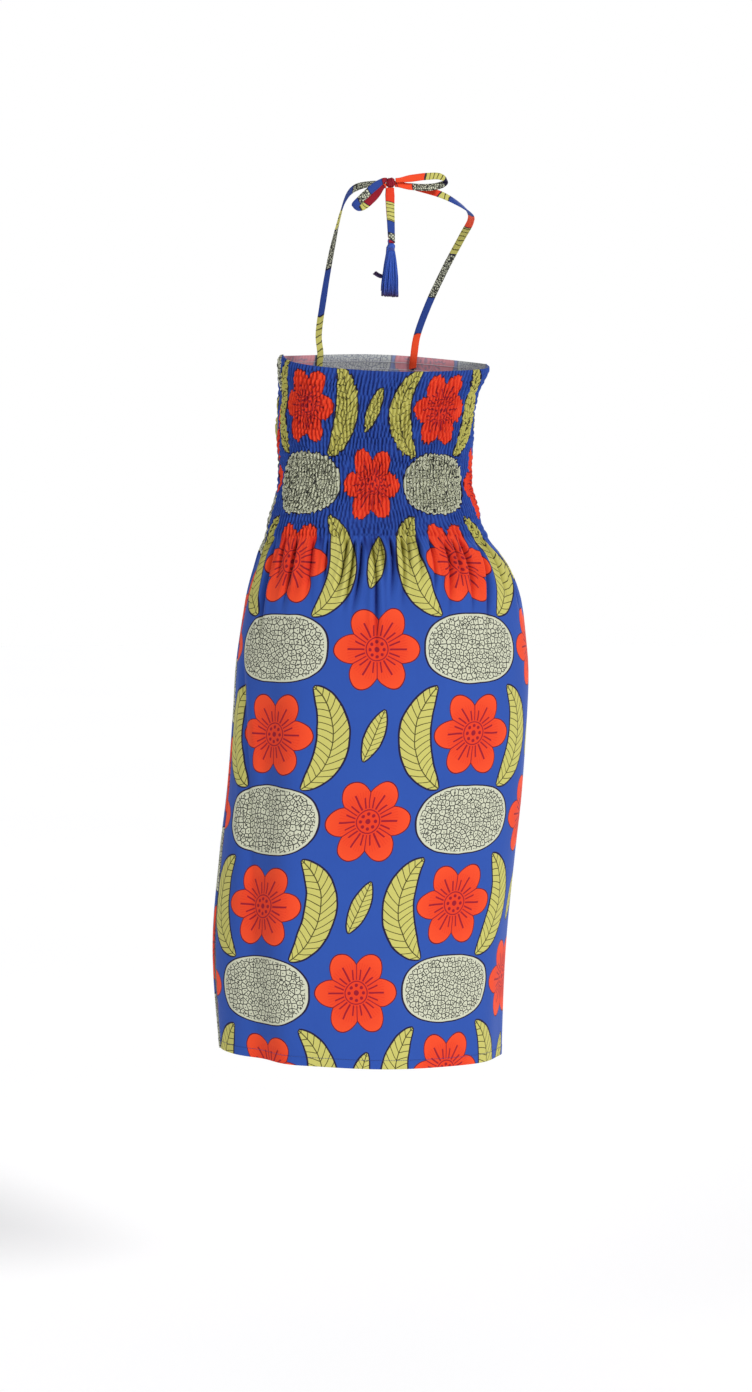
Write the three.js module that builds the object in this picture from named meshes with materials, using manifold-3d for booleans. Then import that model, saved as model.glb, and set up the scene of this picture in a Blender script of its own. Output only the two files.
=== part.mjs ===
// A tube dress with a halter tie, in the hollow form that it keeps when worn.
// The bodice is shirred: rows of elastic thread draw the cloth in, and it puffs up between them.
// Below the last thread the same cloth hangs free as the skirt, and its fullness shows as gathers.
// Front and back are one cut piece each, joined at the sides; two narrow ties meet in a bow at the nape.
//
// Millimetres, +Z up. The origin is the middle of the chest at the level of the top edge's sides.
// The front faces -Y, and the wearer's left is +X.
import * as THREE from "three";
import { mergeVertices } from "three/addons/utils/BufferGeometryUtils.js";
import Module from "manifold-3d";

// ---- driving dimensions ----
const CLOTH = 1.3; // wall thickness
const SEAM_GAP = 0.4; // between the two panels at a side seam, and between touching pieces
const COLUMNS = 38; // grid columns across one panel

const TOP_EDGE = { leftSide: 15, rightSide: 8, backMiddle: -11, frontMiddle: 26 };
const SHIRRING = { end: -206, rows: 20, thread: 0, lowPuff: 0.6, highPuff: 1.7, rowsPerInnerRing: 2 };
const SKIRT = { hemLeft: -836, hemRight: -857, rings: 13, crowding: 1.35 };

const TIE = { width: 9, thick: 2.2, steps: 24, pinch: 0.6, pinchShare: 0.16, straight: 4 };
const KNOT = { x: 7, y: 80, z: 214, width: 10, depth: 11, height: 12, chamfer: 2.5 };
const TASSEL = { length: 64, headRadius: 4.3, headHeight: 11, spread: 10.8, flatten: 0.5, strand: 0.75 };

// The body of the dress, level by level: half its width at the sides, how far its middle sways to the
// wearer's left, its depth to the front and to the back, and how square the section is (2 is an ellipse).
const LEVELS = [
  { z: 40, halfWidth: 131, sway: -6, front: 92, back: 86, square: 2.3 },
  { z: 0, halfWidth: 128.5, sway: -3.5, front: 113, back: 90, square: 2.4 },
  { z: -35, halfWidth: 119.5, sway: 4.5, front: 125, back: 91, square: 2.5 },
  { z: -82, halfWidth: 119, sway: 8.3, front: 113, back: 85, square: 2.4 },
  { z: -120, halfWidth: 118, sway: 8, front: 96, back: 79, square: 2.3 },
  { z: -150, halfWidth: 120, sway: 8.5, front: 92, back: 80, square: 2.3 },
  { z: -178, halfWidth: 128, sway: 9, front: 93, back: 86, square: 2.3 },
  { z: -206, halfWidth: 136.6, sway: 7, front: 97, back: 95, square: 2.3 },
  { z: -246, halfWidth: 156.3, sway: 0.8, front: 104, back: 110, square: 2.3 },
  { z: -290, halfWidth: 171.3, sway: -0.4, front: 108, back: 120, square: 2.3 },
  { z: -360, halfWidth: 182.3, sway: 0.5, front: 111, back: 129, square: 2.3 },
  { z: -420, halfWidth: 184, sway: 2.4, front: 112, back: 130, square: 2.3 },
  { z: -520, halfWidth: 184.5, sway: 8.7, front: 113, back: 127, square: 2.25 },
  { z: -600, halfWidth: 185.2, sway: 16.8, front: 114, back: 125, square: 2.1 },
  { z: -720, halfWidth: 185, sway: 26, front: 116, back: 123, square: 1.9 },
  { z: -870, halfWidth: 178.5, sway: 23.2, front: 118, back: 122, square: 1.65 },
];

// The largest gathers. Each starts at the last thread, at a share of the panel's width from the wearer's
// left seam, and dies away over its length while it drifts sideways. Depth above 0 stands out.
const GATHERS = {
  back: [
    { at: 0.06, length: 150, depth: 3.8, width: 15, drift: -0.01 },
    { at: 0.15, length: 90, depth: 3.1, width: 12, drift: -0.02 },
    { at: 0.23, length: 130, depth: 4.1, width: 14, drift: -0.03 },
    { at: 0.34, length: 110, depth: 4.3, width: 13, drift: -0.04 },
    { at: 0.42, length: 140, depth: 4.6, width: 14, drift: -0.01 },
    { at: 0.5, length: 90, depth: 3.6, width: 12, drift: 0.0 },
    { at: 0.58, length: 110, depth: 4.3, width: 13, drift: 0.01 },
    { at: 0.67, length: 130, depth: 3.6, width: 14, drift: 0.02 },
    { at: 0.76, length: 100, depth: 4.1, width: 13, drift: 0.02 },
    { at: 0.86, length: 160, depth: 4.6, width: 15, drift: 0.03 },
    { at: 0.95, length: 120, depth: 3.4, width: 12, drift: 0.01 },
  ],
  front: [
    { at: 0.05, length: 130, depth: 3.6, width: 14, drift: 0.0 },
    { at: 0.14, length: 110, depth: 4.1, width: 13, drift: -0.02 },
    { at: 0.25, length: 150, depth: 4.3, width: 15, drift: -0.02 },
    { at: 0.35, length: 100, depth: 3.6, width: 13, drift: -0.01 },
    { at: 0.44, length: 140, depth: 4.6, width: 14, drift: 0.01 },
    { at: 0.53, length: 90, depth: 3.8, width: 13, drift: 0.0 },
    { at: 0.63, length: 130, depth: 4.3, width: 14, drift: 0.02 },
    { at: 0.73, length: 110, depth: 3.6, width: 13, drift: 0.03 },
    { at: 0.84, length: 150, depth: 4.3, width: 15, drift: 0.02 },
    { at: 0.94, length: 100, depth: 3.6, width: 13, drift: 0.0 },
  ],
};

// Long soft flutes that the free skirt falls into towards the hem, each growing from where it starts.
const FLUTES = {
  back: [
    { at: 0.1, start: -330, depth: -4, width: 26 },
    { at: 0.2, start: -420, depth: 4, width: 34 },
    { at: 0.5, start: -560, depth: -2.5, width: 60 },
    { at: 0.8, start: -480, depth: 3.5, width: 40 },
    { at: 0.92, start: -520, depth: -4, width: 30 },
  ],
  front: [
    { at: 0.1, start: -450, depth: 4, width: 36 },
    { at: 0.27, start: -480, depth: -5, width: 34 },
    { at: 0.45, start: -520, depth: 4, width: 44 },
    { at: 0.62, start: -470, depth: -5, width: 36 },
    { at: 0.84, start: -500, depth: 4, width: 40 },
  ],
};

// The ties run from inside the front's top edge, up round the neck to the knot. Each row is a place on the
// tie's middle line and the way its outer face looks.
const TIE_ROUTES = {
  tie_left: [
    { x: 62, y: -92, z: 48, faceX: 0.3, faceY: -0.85, faceZ: 0.4 },
    { x: 59, y: -77, z: 90, faceX: 0.35, faceY: -0.8, faceZ: 0.5 },
    { x: 55, y: -52, z: 138, faceX: 0.5, faceY: -0.7, faceZ: 0.5 },
    { x: 50, y: -22, z: 182, faceX: 0.85, faceY: -0.3, faceZ: 0.4 },
    { x: 47, y: 12, z: 206, faceX: 1, faceY: 0.1, faceZ: 0.15 },
    { x: 41, y: 43, z: 213, faceX: 0.8, faceY: 0.6, faceZ: 0.05 },
    { x: 26, y: 66, z: 214.5, faceX: 0.35, faceY: 0.9, faceZ: 0 },
  ],
  tie_right: [
    { x: -66, y: -95, z: 50, faceX: -0.3, faceY: -0.85, faceZ: 0.4 },
    { x: -79, y: -85, z: 90, faceX: -0.35, faceY: -0.8, faceZ: 0.5 },
    { x: -96, y: -62, z: 134, faceX: -0.45, faceY: -0.65, faceZ: 0.6 },
    { x: -109, y: -30, z: 168, faceX: -0.5, faceY: -0.3, faceZ: 0.8 },
    { x: -111, y: 4, z: 182.5, faceX: -0.4, faceY: 0.1, faceZ: 0.9 },
    { x: -103, y: 32, z: 188, faceX: -0.2, faceY: 0.5, faceZ: 0.8 },
    { x: -84, y: 53, z: 195.5, faceX: -0.1, faceY: 0.8, faceZ: 0.6 },
    { x: -58, y: 67, z: 204, faceX: -0.05, faceY: 0.95, faceZ: 0.3 },
    { x: -28, y: 74, z: 209.5, faceX: 0, faceY: 1, faceZ: 0.1 },
  ],
};

// The stretch of each tie that is sewn inside the front's top edge.
const TIE_SEWN = { frontX: 62, low: 8, high: 24, clear: 1.35 };

// The bow's loops and hanging ends, from one face of the knot. The width of a loop turns about its length.
const LOOP_ROUTES = {
  loop_left: [
    { x: 0, y: 4.2, z: 2.2, faceX: 0, faceY: 1, faceZ: 0 },
    { x: 3, y: 4.2, z: 2.2, faceX: 0, faceY: 1, faceZ: 0 },
    { x: 16, y: 6.5, z: -7, faceX: 0.1, faceY: 1, faceZ: -0.1 },
    { x: 31, y: 7.5, z: -20.5, faceX: 0.15, faceY: 1, faceZ: -0.1 },
    { x: 40, y: 4.5, z: -31, faceX: 0.8, faceY: 0, faceZ: -0.6 },
    { x: 29, y: 1.2, z: -29.5, faceX: 0.15, faceY: -1, faceZ: -0.1 },
    { x: 16, y: 0.4, z: -19, faceX: 0, faceY: -1, faceZ: 0 },
    { x: 3, y: 0.4, z: -4.2, faceX: 0, faceY: -1, faceZ: 0 },
    { x: 0, y: 0.4, z: -4.2, faceX: 0, faceY: -1, faceZ: 0 },
  ],
  loop_right: [
    { x: 0, y: 4.4, z: 2.6, faceX: 0, faceY: 1, faceZ: 0.15 },
    { x: -3, y: 4.4, z: 2.6, faceX: 0, faceY: 1, faceZ: 0.15 },
    { x: -18, y: 5.6, z: 5, faceX: 0, faceY: 0.95, faceZ: 0.3 },
    { x: -38, y: 7.2, z: 7.8, faceX: 0, faceY: 0.95, faceZ: 0.3 },
    { x: -54, y: 7.8, z: 8, faceX: -0.2, faceY: 0.9, faceZ: 0.35 },
    { x: -62.5, y: 6, z: 3, faceX: -1, faceY: 0, faceZ: 0 },
    { x: -54, y: 4.2, z: -2, faceX: -0.2, faceY: -0.9, faceZ: -0.35 },
    { x: -38, y: 3, z: -4.6, faceX: 0, faceY: -0.95, faceZ: -0.3 },
    { x: -18, y: 1.8, z: -4, faceX: 0, faceY: -0.95, faceZ: -0.3 },
    { x: -3, y: 0.8, z: -2.4, faceX: 0, faceY: -1, faceZ: -0.15 },
    { x: 0, y: 0.8, z: -2.4, faceX: 0, faceY: -1, faceZ: -0.15 },
  ],
};
const END_ROUTES = {
  outer: [
    { x: 1, y: 3.2, z: 0, faceX: 0, faceY: 1, faceZ: 0 },
    { x: 1, y: 3.2, z: -3, faceX: 0, faceY: 1, faceZ: 0 },
    { x: 2.2, y: 9, z: -18, faceX: 0, faceY: 1, faceZ: 0.1 },
    { x: 3, y: 17, z: -42, faceX: 0, faceY: 1, faceZ: 0.2 },
    { x: 3.2, y: 23, z: -68, faceX: 0, faceY: 1, faceZ: 0.15 },
  ],
  inner: [
    { x: 0.5, y: -2.4, z: 0, faceX: 0, faceY: 1, faceZ: 0 },
    { x: 0.5, y: -2.4, z: -3, faceX: 0, faceY: 1, faceZ: 0 },
    { x: 1, y: 1, z: -18, faceX: 0, faceY: 1, faceZ: 0.1 },
    { x: 1, y: 5.5, z: -40, faceX: 0, faceY: 1, faceZ: 0.2 },
    { x: 1, y: 8.5, z: -60, faceX: 0, faceY: 1, faceZ: 0.15 },
  ],
};

const COLOURS = { cloth: "#3155b4", ties: "#c8502f", tassels: "#2f4a9c" };

// ---- small helpers ----
const clamp01 = (t) => Math.min(1, Math.max(0, t));
const smooth = (t) => clamp01(t) ** 2 * (3 - 2 * clamp01(t));
const bell = (distance, width) => Math.exp(-((distance / width) ** 2));
const material = (colour) => new THREE.MeshStandardMaterial({ color: colour, roughness: 0.75, metalness: 0 });

// One named value of the dress at a height, on a smooth curve through the rows of LEVELS.
function level(key, z) {
  const last = LEVELS.length - 2;
  let i = LEVELS.findIndex((row, k) => k <= last && z >= LEVELS[k + 1].z);
  if (i < 0) i = last;
  const slope = (k) => {
    const above = LEVELS[Math.max(0, k - 1)];
    const below = LEVELS[Math.min(LEVELS.length - 1, k + 1)];
    return (below[key] - above[key]) / (below.z - above.z);
  };
  const span = LEVELS[i + 1].z - LEVELS[i].z;
  const t = (z - LEVELS[i].z) / span;
  const start = LEVELS[i][key] * (1 + 2 * t) * (1 - t) ** 2 + slope(i) * span * t * (1 - t) ** 2;
  return start + LEVELS[i + 1][key] * t * t * (3 - 2 * t) - slope(i + 1) * span * t * t * (1 - t);
}

// A point of the plain section at height z. The angle runs from 0 at the left seam to pi at the right one,
// over the back (side 1) or the front (side -1).
function sectionPoint(side, angle, z) {
  const power = 2 / level("square", z);
  const across = Math.sign(Math.cos(angle)) * Math.abs(Math.cos(angle)) ** power;
  const out = Math.abs(Math.sin(angle)) ** power;
  const depth = level(side > 0 ? "back" : "front", z);
  return new THREE.Vector3(level("sway", z) + level("halfWidth", z) * across, side * depth * out, z);
}

// The section's points at equal steps of arc, with the way out of the dress at each, level with the floor.
const ARC_STEPS = 240;
function evenSection(side, z) {
  const points = Array.from({ length: ARC_STEPS + 1 }, (_, k) =>
    sectionPoint(side, (Math.PI * k) / ARC_STEPS, z),
  );
  const lengths = [0];
  for (let k = 1; k <= ARC_STEPS; k++) lengths.push(lengths[k - 1] + points[k].distanceTo(points[k - 1]));
  const total = lengths[ARC_STEPS];
  return {
    total,
    at(share) {
      const want = SEAM_GAP / 2 + share * (total - SEAM_GAP);
      let k = lengths.findIndex((length) => length >= want);
      k = Math.max(1, k);
      const t = (want - lengths[k - 1]) / (lengths[k] - lengths[k - 1]);
      const along = points[k].clone().sub(points[k - 1]).normalize();
      return {
        point: points[k - 1].clone().lerp(points[k], t),
        out: new THREE.Vector3(side * along.y, -side * along.x, 0),
      };
    },
  };
}

// Heights of the two edges at a share of the panel's width.
function topHeight(side, share) {
  const atSides = THREE.MathUtils.lerp(TOP_EDGE.leftSide, TOP_EDGE.rightSide, share);
  const arch = Math.sin(Math.PI * share);
  if (side > 0) return THREE.MathUtils.lerp(atSides, TOP_EDGE.backMiddle, arch ** 0.7);
  return THREE.MathUtils.lerp(atSides, TOP_EDGE.frontMiddle, arch ** 1.3);
}
const hemHeight = (share) => THREE.MathUtils.lerp(SKIRT.hemLeft, SKIRT.hemRight, share);

// How far the free cloth stands out from the plain section: gathers, then flutes.
function drape(side, share, z, total) {
  const name = side > 0 ? "back" : "front";
  let out = 0;
  for (const fold of GATHERS[name]) {
    const down = (SHIRRING.end - z) / fold.length;
    const middle = fold.at + fold.drift * down;
    out += fold.depth * smooth(down * 6) * (1 - smooth(down)) * bell((share - middle) * total, fold.width);
  }
  for (const flute of FLUTES[name]) {
    const grown = smooth((flute.start - z) / (flute.start - SKIRT.hemRight));
    out += flute.depth * grown * bell((share - flute.at) * total, flute.width);
  }
  return out;
}

// A closed wall between an outer grid and an inner grid. Both are lists of rings with equal columns, and
// innerAt says which outer ring each inner ring lies behind.
function wallGeometry(outer, inner, innerAt, side) {
  const columns = outer[0].length;
  const positions = [...outer, ...inner].flat().flatMap((p) => [p.x, p.y, p.z]);
  const outerVertex = (i, j) => i * columns + j;
  const innerVertex = (k, j) => (outer.length + k) * columns + j;
  const faces = [];
  const face = (a, b, c) => faces.push(side > 0 ? [a, c, b] : [a, b, c]);
  const quad = (a, b, c, d) => {
    face(a, b, c);
    face(a, c, d);
  };
  for (let j = 0; j < columns - 1; j++) {
    for (let i = 0; i < outer.length - 1; i++)
      quad(outerVertex(i, j), outerVertex(i, j + 1), outerVertex(i + 1, j + 1), outerVertex(i + 1, j));
    for (let k = 0; k < inner.length - 1; k++)
      quad(innerVertex(k, j), innerVertex(k + 1, j), innerVertex(k + 1, j + 1), innerVertex(k, j + 1));
    quad(outerVertex(0, j), innerVertex(0, j), innerVertex(0, j + 1), outerVertex(0, j + 1));
    const [last, lastIn] = [outer.length - 1, inner.length - 1];
    quad(outerVertex(last, j), outerVertex(last, j + 1), innerVertex(lastIn, j + 1), innerVertex(lastIn, j));
  }
  for (const [j, turn] of [
    [0, false],
    [columns - 1, true],
  ]) {
    const rim = (a, b, c) => (turn ? face(a, c, b) : face(a, b, c));
    for (let k = 0; k < inner.length - 1; k++) {
      for (let i = innerAt[k]; i < innerAt[k + 1]; i++)
        rim(innerVertex(k, j), outerVertex(i, j), outerVertex(i + 1, j));
      rim(innerVertex(k, j), outerVertex(innerAt[k + 1], j), innerVertex(k + 1, j));
    }
  }
  const geometry = new THREE.BufferGeometry();
  geometry.setAttribute("position", new THREE.Float32BufferAttribute(positions, 3));
  geometry.setIndex(faces.flat());
  geometry.computeVertexNormals();
  return geometry;
}

// One panel, front or back: shirred above, hanging free below.
function panelGeometry(side) {
  const shares = Array.from({ length: COLUMNS + 1 }, (_, j) => j / COLUMNS);
  const shirredRings = 2 * SHIRRING.rows;
  const ringStep = 2 * SHIRRING.rowsPerInnerRing;
  const outer = [];
  const inner = [];
  const innerAt = [];
  const ring = (heightAt, relief, lift) =>
    shares.map((share, j) => {
      const z = heightAt(share);
      const section = evenSection(side, z);
      const { point, out } = section.at(share);
      return point.addScaledVector(out, relief(share, z, section.total) + lift(j));
    });
  for (let i = 0; i <= shirredRings; i++) {
    const heightAt = (share) => THREE.MathUtils.lerp(topHeight(side, share), SHIRRING.end, i / shirredRings);
    const puff = (j) => {
      if (i % 2 === 0) return SHIRRING.thread;
      return (j + (i - 1) / 2) % 2 === 0 ? SHIRRING.highPuff : SHIRRING.lowPuff;
    };
    outer.push(ring(heightAt, () => 0, puff));
    if (i % ringStep === 0) {
      inner.push(ring(heightAt, () => 0, () => -CLOTH));
      innerAt.push(i);
    }
  }
  for (let i = 1; i <= SKIRT.rings; i++) {
    const down = (i / SKIRT.rings) ** SKIRT.crowding;
    const heightAt = (share) => THREE.MathUtils.lerp(SHIRRING.end, hemHeight(share), down);
    const relief = (share, z, total) => drape(side, share, z, total);
    outer.push(ring(heightAt, relief, () => SHIRRING.thread));
    inner.push(ring(heightAt, relief, () => -CLOTH));
    innerAt.push(outer.length - 1);
  }
  return wallGeometry(outer, inner, innerAt, side);
}

// A closed solid swept along a list of places. Each section is a list of [along the width, along the face].
function sweepGeometry(places, sectionAt) {
  const count = sectionAt(0).length;
  const positions = [];
  places.forEach(({ point, width, face }, i) => {
    for (const [a, b] of sectionAt(i / (places.length - 1))) {
      const p = point.clone().addScaledVector(width, a).addScaledVector(face, b);
      positions.push(p.x, p.y, p.z);
    }
  });
  const faces = [];
  for (let i = 0; i < places.length - 1; i++)
    for (let j = 0; j < count; j++) {
      const next = (j + 1) % count;
      const [a, b, c, d] = [i * count + j, i * count + next, (i + 1) * count + next, (i + 1) * count + j];
      faces.push(a, c, b, a, d, c);
    }
  const end = (places.length - 1) * count;
  for (let j = 1; j < count - 1; j++) faces.push(0, j, j + 1, end, end + j + 1, end + j);
  const geometry = new THREE.BufferGeometry();
  geometry.setAttribute("position", new THREE.Float32BufferAttribute(positions, 3));
  geometry.setIndex(faces);
  geometry.computeVertexNormals();
  return geometry;
}

// A tie's flat section, a lens with cut corners, drawn in where it enters the knot.
function tieSection(pinchedEnds) {
  return (t) => {
    const fromEnd = Math.min(pinchedEnds.start ? t : 1, pinchedEnds.end ? 1 - t : 1);
    const share = TIE.pinch + (1 - TIE.pinch) * smooth(fromEnd / TIE.pinchShare);
    const [w, h] = [(TIE.width * share) / 2, TIE.thick / 2];
    return [
      [w, 0],
      [w - h, h],
      [h - w, h],
      [-w, 0],
      [h - w, -h],
      [w - h, -h],
    ];
  };
}

// A tie along a route of rows, each a place and the way the outer face looks.
function tieGeometry(rows, steps, pinchedEnds) {
  const points = rows.map((r) => new THREE.Vector3(r.x, r.y, r.z));
  const middle = new THREE.CatmullRomCurve3(points, false, "centripetal");
  const looks = new THREE.CatmullRomCurve3(rows.map((r) => new THREE.Vector3(r.faceX, r.faceY, r.faceZ)));
  const places = Array.from({ length: steps + 1 }, (_, i) => {
    const t = i / steps;
    const along = middle.getTangent(t);
    const width = new THREE.Vector3().crossVectors(along, looks.getPoint(t)).normalize();
    const face = new THREE.Vector3().crossVectors(width, along).normalize();
    return { point: middle.getPoint(t), width, face };
  });
  return sweepGeometry(places, tieSection(pinchedEnds));
}

// Where a tie is sewn inside the front panel: a row on the inner face at that height and distance across.
function sewnRow(x, z) {
  const section = evenSection(-1, z);
  const share = Array.from({ length: 400 }, (_, k) => k / 400).find((s) => section.at(s).point.x <= x);
  const { point, out } = section.at(share);
  point.addScaledVector(out, -(CLOTH + TIE.thick / 2 + TIE_SEWN.clear));
  return { x: point.x, y: point.y, z, faceX: out.x, faceY: out.y, faceZ: 0 };
}

const shifted = (rows, x, y, z) => rows.map((r) => ({ ...r, x: r.x + x, y: r.y + y, z: r.z + z }));
const leftFace = KNOT.x + KNOT.width / 2 + SEAM_GAP;
const rightFace = KNOT.x - KNOT.width / 2 - SEAM_GAP;
const underFace = KNOT.z - KNOT.height / 2 - SEAM_GAP;

function neckTie(name) {
  const left = name === "tie_left";
  const x = left ? TIE_SEWN.frontX : -TIE_SEWN.frontX;
  const face = left ? leftFace : rightFace;
  const atKnot = { x: face, y: KNOT.y - 3.4, z: KNOT.z, faceX: 0, faceY: 1, faceZ: 0 };
  const nearKnot = { ...atKnot, x: face + Math.sign(x) * TIE.straight };
  const sewn = [sewnRow(x, TIE_SEWN.low), sewnRow(x, TIE_SEWN.high)];
  const rows = [...sewn, ...TIE_ROUTES[name], nearKnot, atKnot];
  return tieGeometry(rows, TIE.steps, { start: false, end: true });
}

const bowLoop = (name) =>
  tieGeometry(
    shifted(LOOP_ROUTES[name], name === "loop_left" ? leftFace : rightFace, KNOT.y, KNOT.z),
    TIE.steps,
    { start: true, end: true },
  );

// The knot: a block with cut corners, its flat sides taking the ties.
function knotGeometry() {
  const [w, h, c] = [KNOT.width / 2, KNOT.height / 2, KNOT.chamfer];
  const outline = new THREE.Shape([
    new THREE.Vector2(w, h - c),
    new THREE.Vector2(w - c, h),
    new THREE.Vector2(c - w, h),
    new THREE.Vector2(-w, h - c),
    new THREE.Vector2(-w, c - h),
    new THREE.Vector2(c - w, -h),
    new THREE.Vector2(w - c, -h),
    new THREE.Vector2(w, c - h),
  ]);
  const geometry = new THREE.ExtrudeGeometry(outline, { depth: KNOT.depth, bevelEnabled: false });
  geometry.translate(0, 0, -KNOT.depth / 2);
  geometry.rotateX(Math.PI / 2);
  return geometry.translate(KNOT.x, KNOT.y, KNOT.z);
}

const wasm = await Module();
wasm.setup();
function solidOf(geometry) {
  const bare = geometry.index ? geometry.toNonIndexed() : geometry;
  const points = new THREE.BufferGeometry().setAttribute("position", bare.getAttribute("position"));
  const merged = mergeVertices(points, 1e-3);
  return new wasm.Manifold(
    new wasm.Mesh({
      numProp: 3,
      vertProperties: merged.attributes.position.array,
      triVerts: new Uint32Array(merged.index.array),
    }),
  );
}

// A tassel hanging from the origin: a bound head, and three-sided strands that bell out of it in rings.
const STRAND_RINGS = [
  { count: 4, root: 0.25, tip: 0.28 },
  { count: 8, root: 0.55, tip: 0.62 },
  { count: 14, root: 0.88, tip: 1 },
];
function tasselGeometry() {
  const [r, h] = [TASSEL.headRadius, TASSEL.headHeight];
  const profile = [
    [0, 0],
    [0.75 * r, -0.08 * h],
    [1.05 * r, -0.35 * h],
    [0.9 * r, -0.68 * h],
    [1.22 * r, -h],
    [0, -h],
  ];
  const head = new THREE.LatheGeometry(profile.reverse().map(([x, y]) => new THREE.Vector2(x, y)), 12);
  head.rotateX(Math.PI / 2);
  let whole = solidOf(head);
  STRAND_RINGS.forEach(({ count, root, tip }, ringNumber) => {
    for (let k = 0; k < count; k++) {
      const angle = (2 * Math.PI * (k + 0.5 * (ringNumber % 2))) / count;
      const outward = new THREE.Vector3(Math.cos(angle), Math.sin(angle), 0);
      const around = new THREE.Vector3(-Math.sin(angle), Math.cos(angle), 0);
      const place = (radius, z) => {
        const point = outward.clone().multiplyScalar(radius).setZ(z);
        return { point, width: outward, face: around };
      };
      const places = [
        place(root * r, 2 - h),
        place(THREE.MathUtils.lerp(root * r, tip * TASSEL.spread, 0.68), -0.5 * TASSEL.length),
        place(tip * TASSEL.spread, -TASSEL.length),
      ];
      const triangle = () => [0, 1, 2].map((c) => {
        const turn = (2 * Math.PI * c) / 3;
        return [TASSEL.strand * Math.cos(turn), TASSEL.strand * Math.sin(turn)];
      });
      whole = whole.add(solidOf(sweepGeometry(places, triangle)));
    }
  });
  const made = whole.getMesh();
  const geometry = new THREE.BufferGeometry();
  geometry.setAttribute("position", new THREE.BufferAttribute(made.vertProperties, 3));
  geometry.setIndex(new THREE.BufferAttribute(made.triVerts, 1));
  geometry.scale(1, TASSEL.flatten, 1);
  geometry.computeVertexNormals();
  return geometry;
}

// ---- assembly ----
const dress = new THREE.Group();
const cloth = material(COLOURS.cloth);
const ties = material(COLOURS.ties);
const tassels = material(COLOURS.tassels);

function add(name, geometry, finish, place = [0, 0, 0], lean = 0) {
  const mesh = new THREE.Mesh(geometry, finish);
  mesh.name = name;
  mesh.position.set(...place);
  mesh.rotation.y = lean;
  dress.add(mesh);
}

add("back_panel", panelGeometry(1), cloth);
add("front_panel", panelGeometry(-1), cloth);
for (const name of Object.keys(TIE_ROUTES)) add(name, neckTie(name), ties);
add("knot", knotGeometry(), ties);
for (const name of Object.keys(LOOP_ROUTES)) add(name, bowLoop(name), ties);
for (const [name, lean] of [
  ["outer", -0.04],
  ["inner", -0.05],
]) {
  const rows = shifted(END_ROUTES[name], KNOT.x, KNOT.y, underFace);
  const foot = rows[rows.length - 1];
  add("tie_end_" + name, tieGeometry(rows, 10, { start: true, end: false }), ties);
  add("tassel_" + name, tasselGeometry(), tassels, [foot.x, foot.y, foot.z - 2 * SEAM_GAP], lean);
}

export default dress;
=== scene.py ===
"""The looks of a tube dress with a halter tie, in the hollow form that it keeps when worn.

Two cloth panels are shirred on rows of elastic thread above and hang free below. Two narrow ties rise from
inside the front's top edge to a bow at the nape, and each ends in a tassel. All shapes are worked out in
millimetres and go into the meshes in metres. Share means the share of a panel's width, from 0 at the
wearer's left seam to 1 at the right one. Side is 1 for the back and -1 for the front.
"""

import functools
import math

import bpy
import numpy as np
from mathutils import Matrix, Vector


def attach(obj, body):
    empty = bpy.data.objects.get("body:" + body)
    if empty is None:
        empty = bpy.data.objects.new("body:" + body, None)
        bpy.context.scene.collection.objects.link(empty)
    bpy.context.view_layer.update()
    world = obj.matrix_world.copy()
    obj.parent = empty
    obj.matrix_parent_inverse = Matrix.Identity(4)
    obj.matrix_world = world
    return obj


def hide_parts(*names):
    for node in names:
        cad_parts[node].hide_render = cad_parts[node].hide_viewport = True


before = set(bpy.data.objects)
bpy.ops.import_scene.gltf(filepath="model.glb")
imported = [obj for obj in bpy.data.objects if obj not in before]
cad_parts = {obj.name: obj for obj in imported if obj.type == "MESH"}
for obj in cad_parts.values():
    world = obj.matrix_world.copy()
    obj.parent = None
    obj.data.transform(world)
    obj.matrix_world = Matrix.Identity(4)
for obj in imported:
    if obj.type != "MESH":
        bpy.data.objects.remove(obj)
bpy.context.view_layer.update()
MM = 0.001

# ---------------------------------------------------------------- dimensions
# Height, half the width, sway to the wearer's left, depth to the front, depth to the back, squareness.
LEVELS = np.array([
    (40, 131, -6, 92, 86, 2.3),
    (0, 128.5, -3.5, 113, 90, 2.4),
    (-35, 119.5, 4.5, 125, 91, 2.5),
    (-82, 119, 8.3, 113, 85, 2.4),
    (-120, 118, 8, 96, 79, 2.3),
    (-150, 120, 8.5, 92, 80, 2.3),
    (-178, 128, 9, 93, 86, 2.3),
    (-206, 136.6, 7, 97, 95, 2.3),
    (-246, 156.3, 0.8, 104, 110, 2.3),
    (-290, 171.3, -0.4, 108, 120, 2.3),
    (-360, 182.3, 0.5, 111, 129, 2.3),
    (-420, 184, 2.4, 112, 130, 2.3),
    (-520, 184.5, 8.7, 113, 127, 2.25),
    (-600, 185.2, 16.8, 114, 125, 2.1),
    (-720, 185, 26, 116, 123, 1.9),
    (-870, 178.5, 23.2, 118, 122, 1.65),
], float)
HEIGHT, HALF_WIDTH, SWAY, FRONT_DEPTH, BACK_DEPTH, SQUARENESS = LEVELS.T

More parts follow.
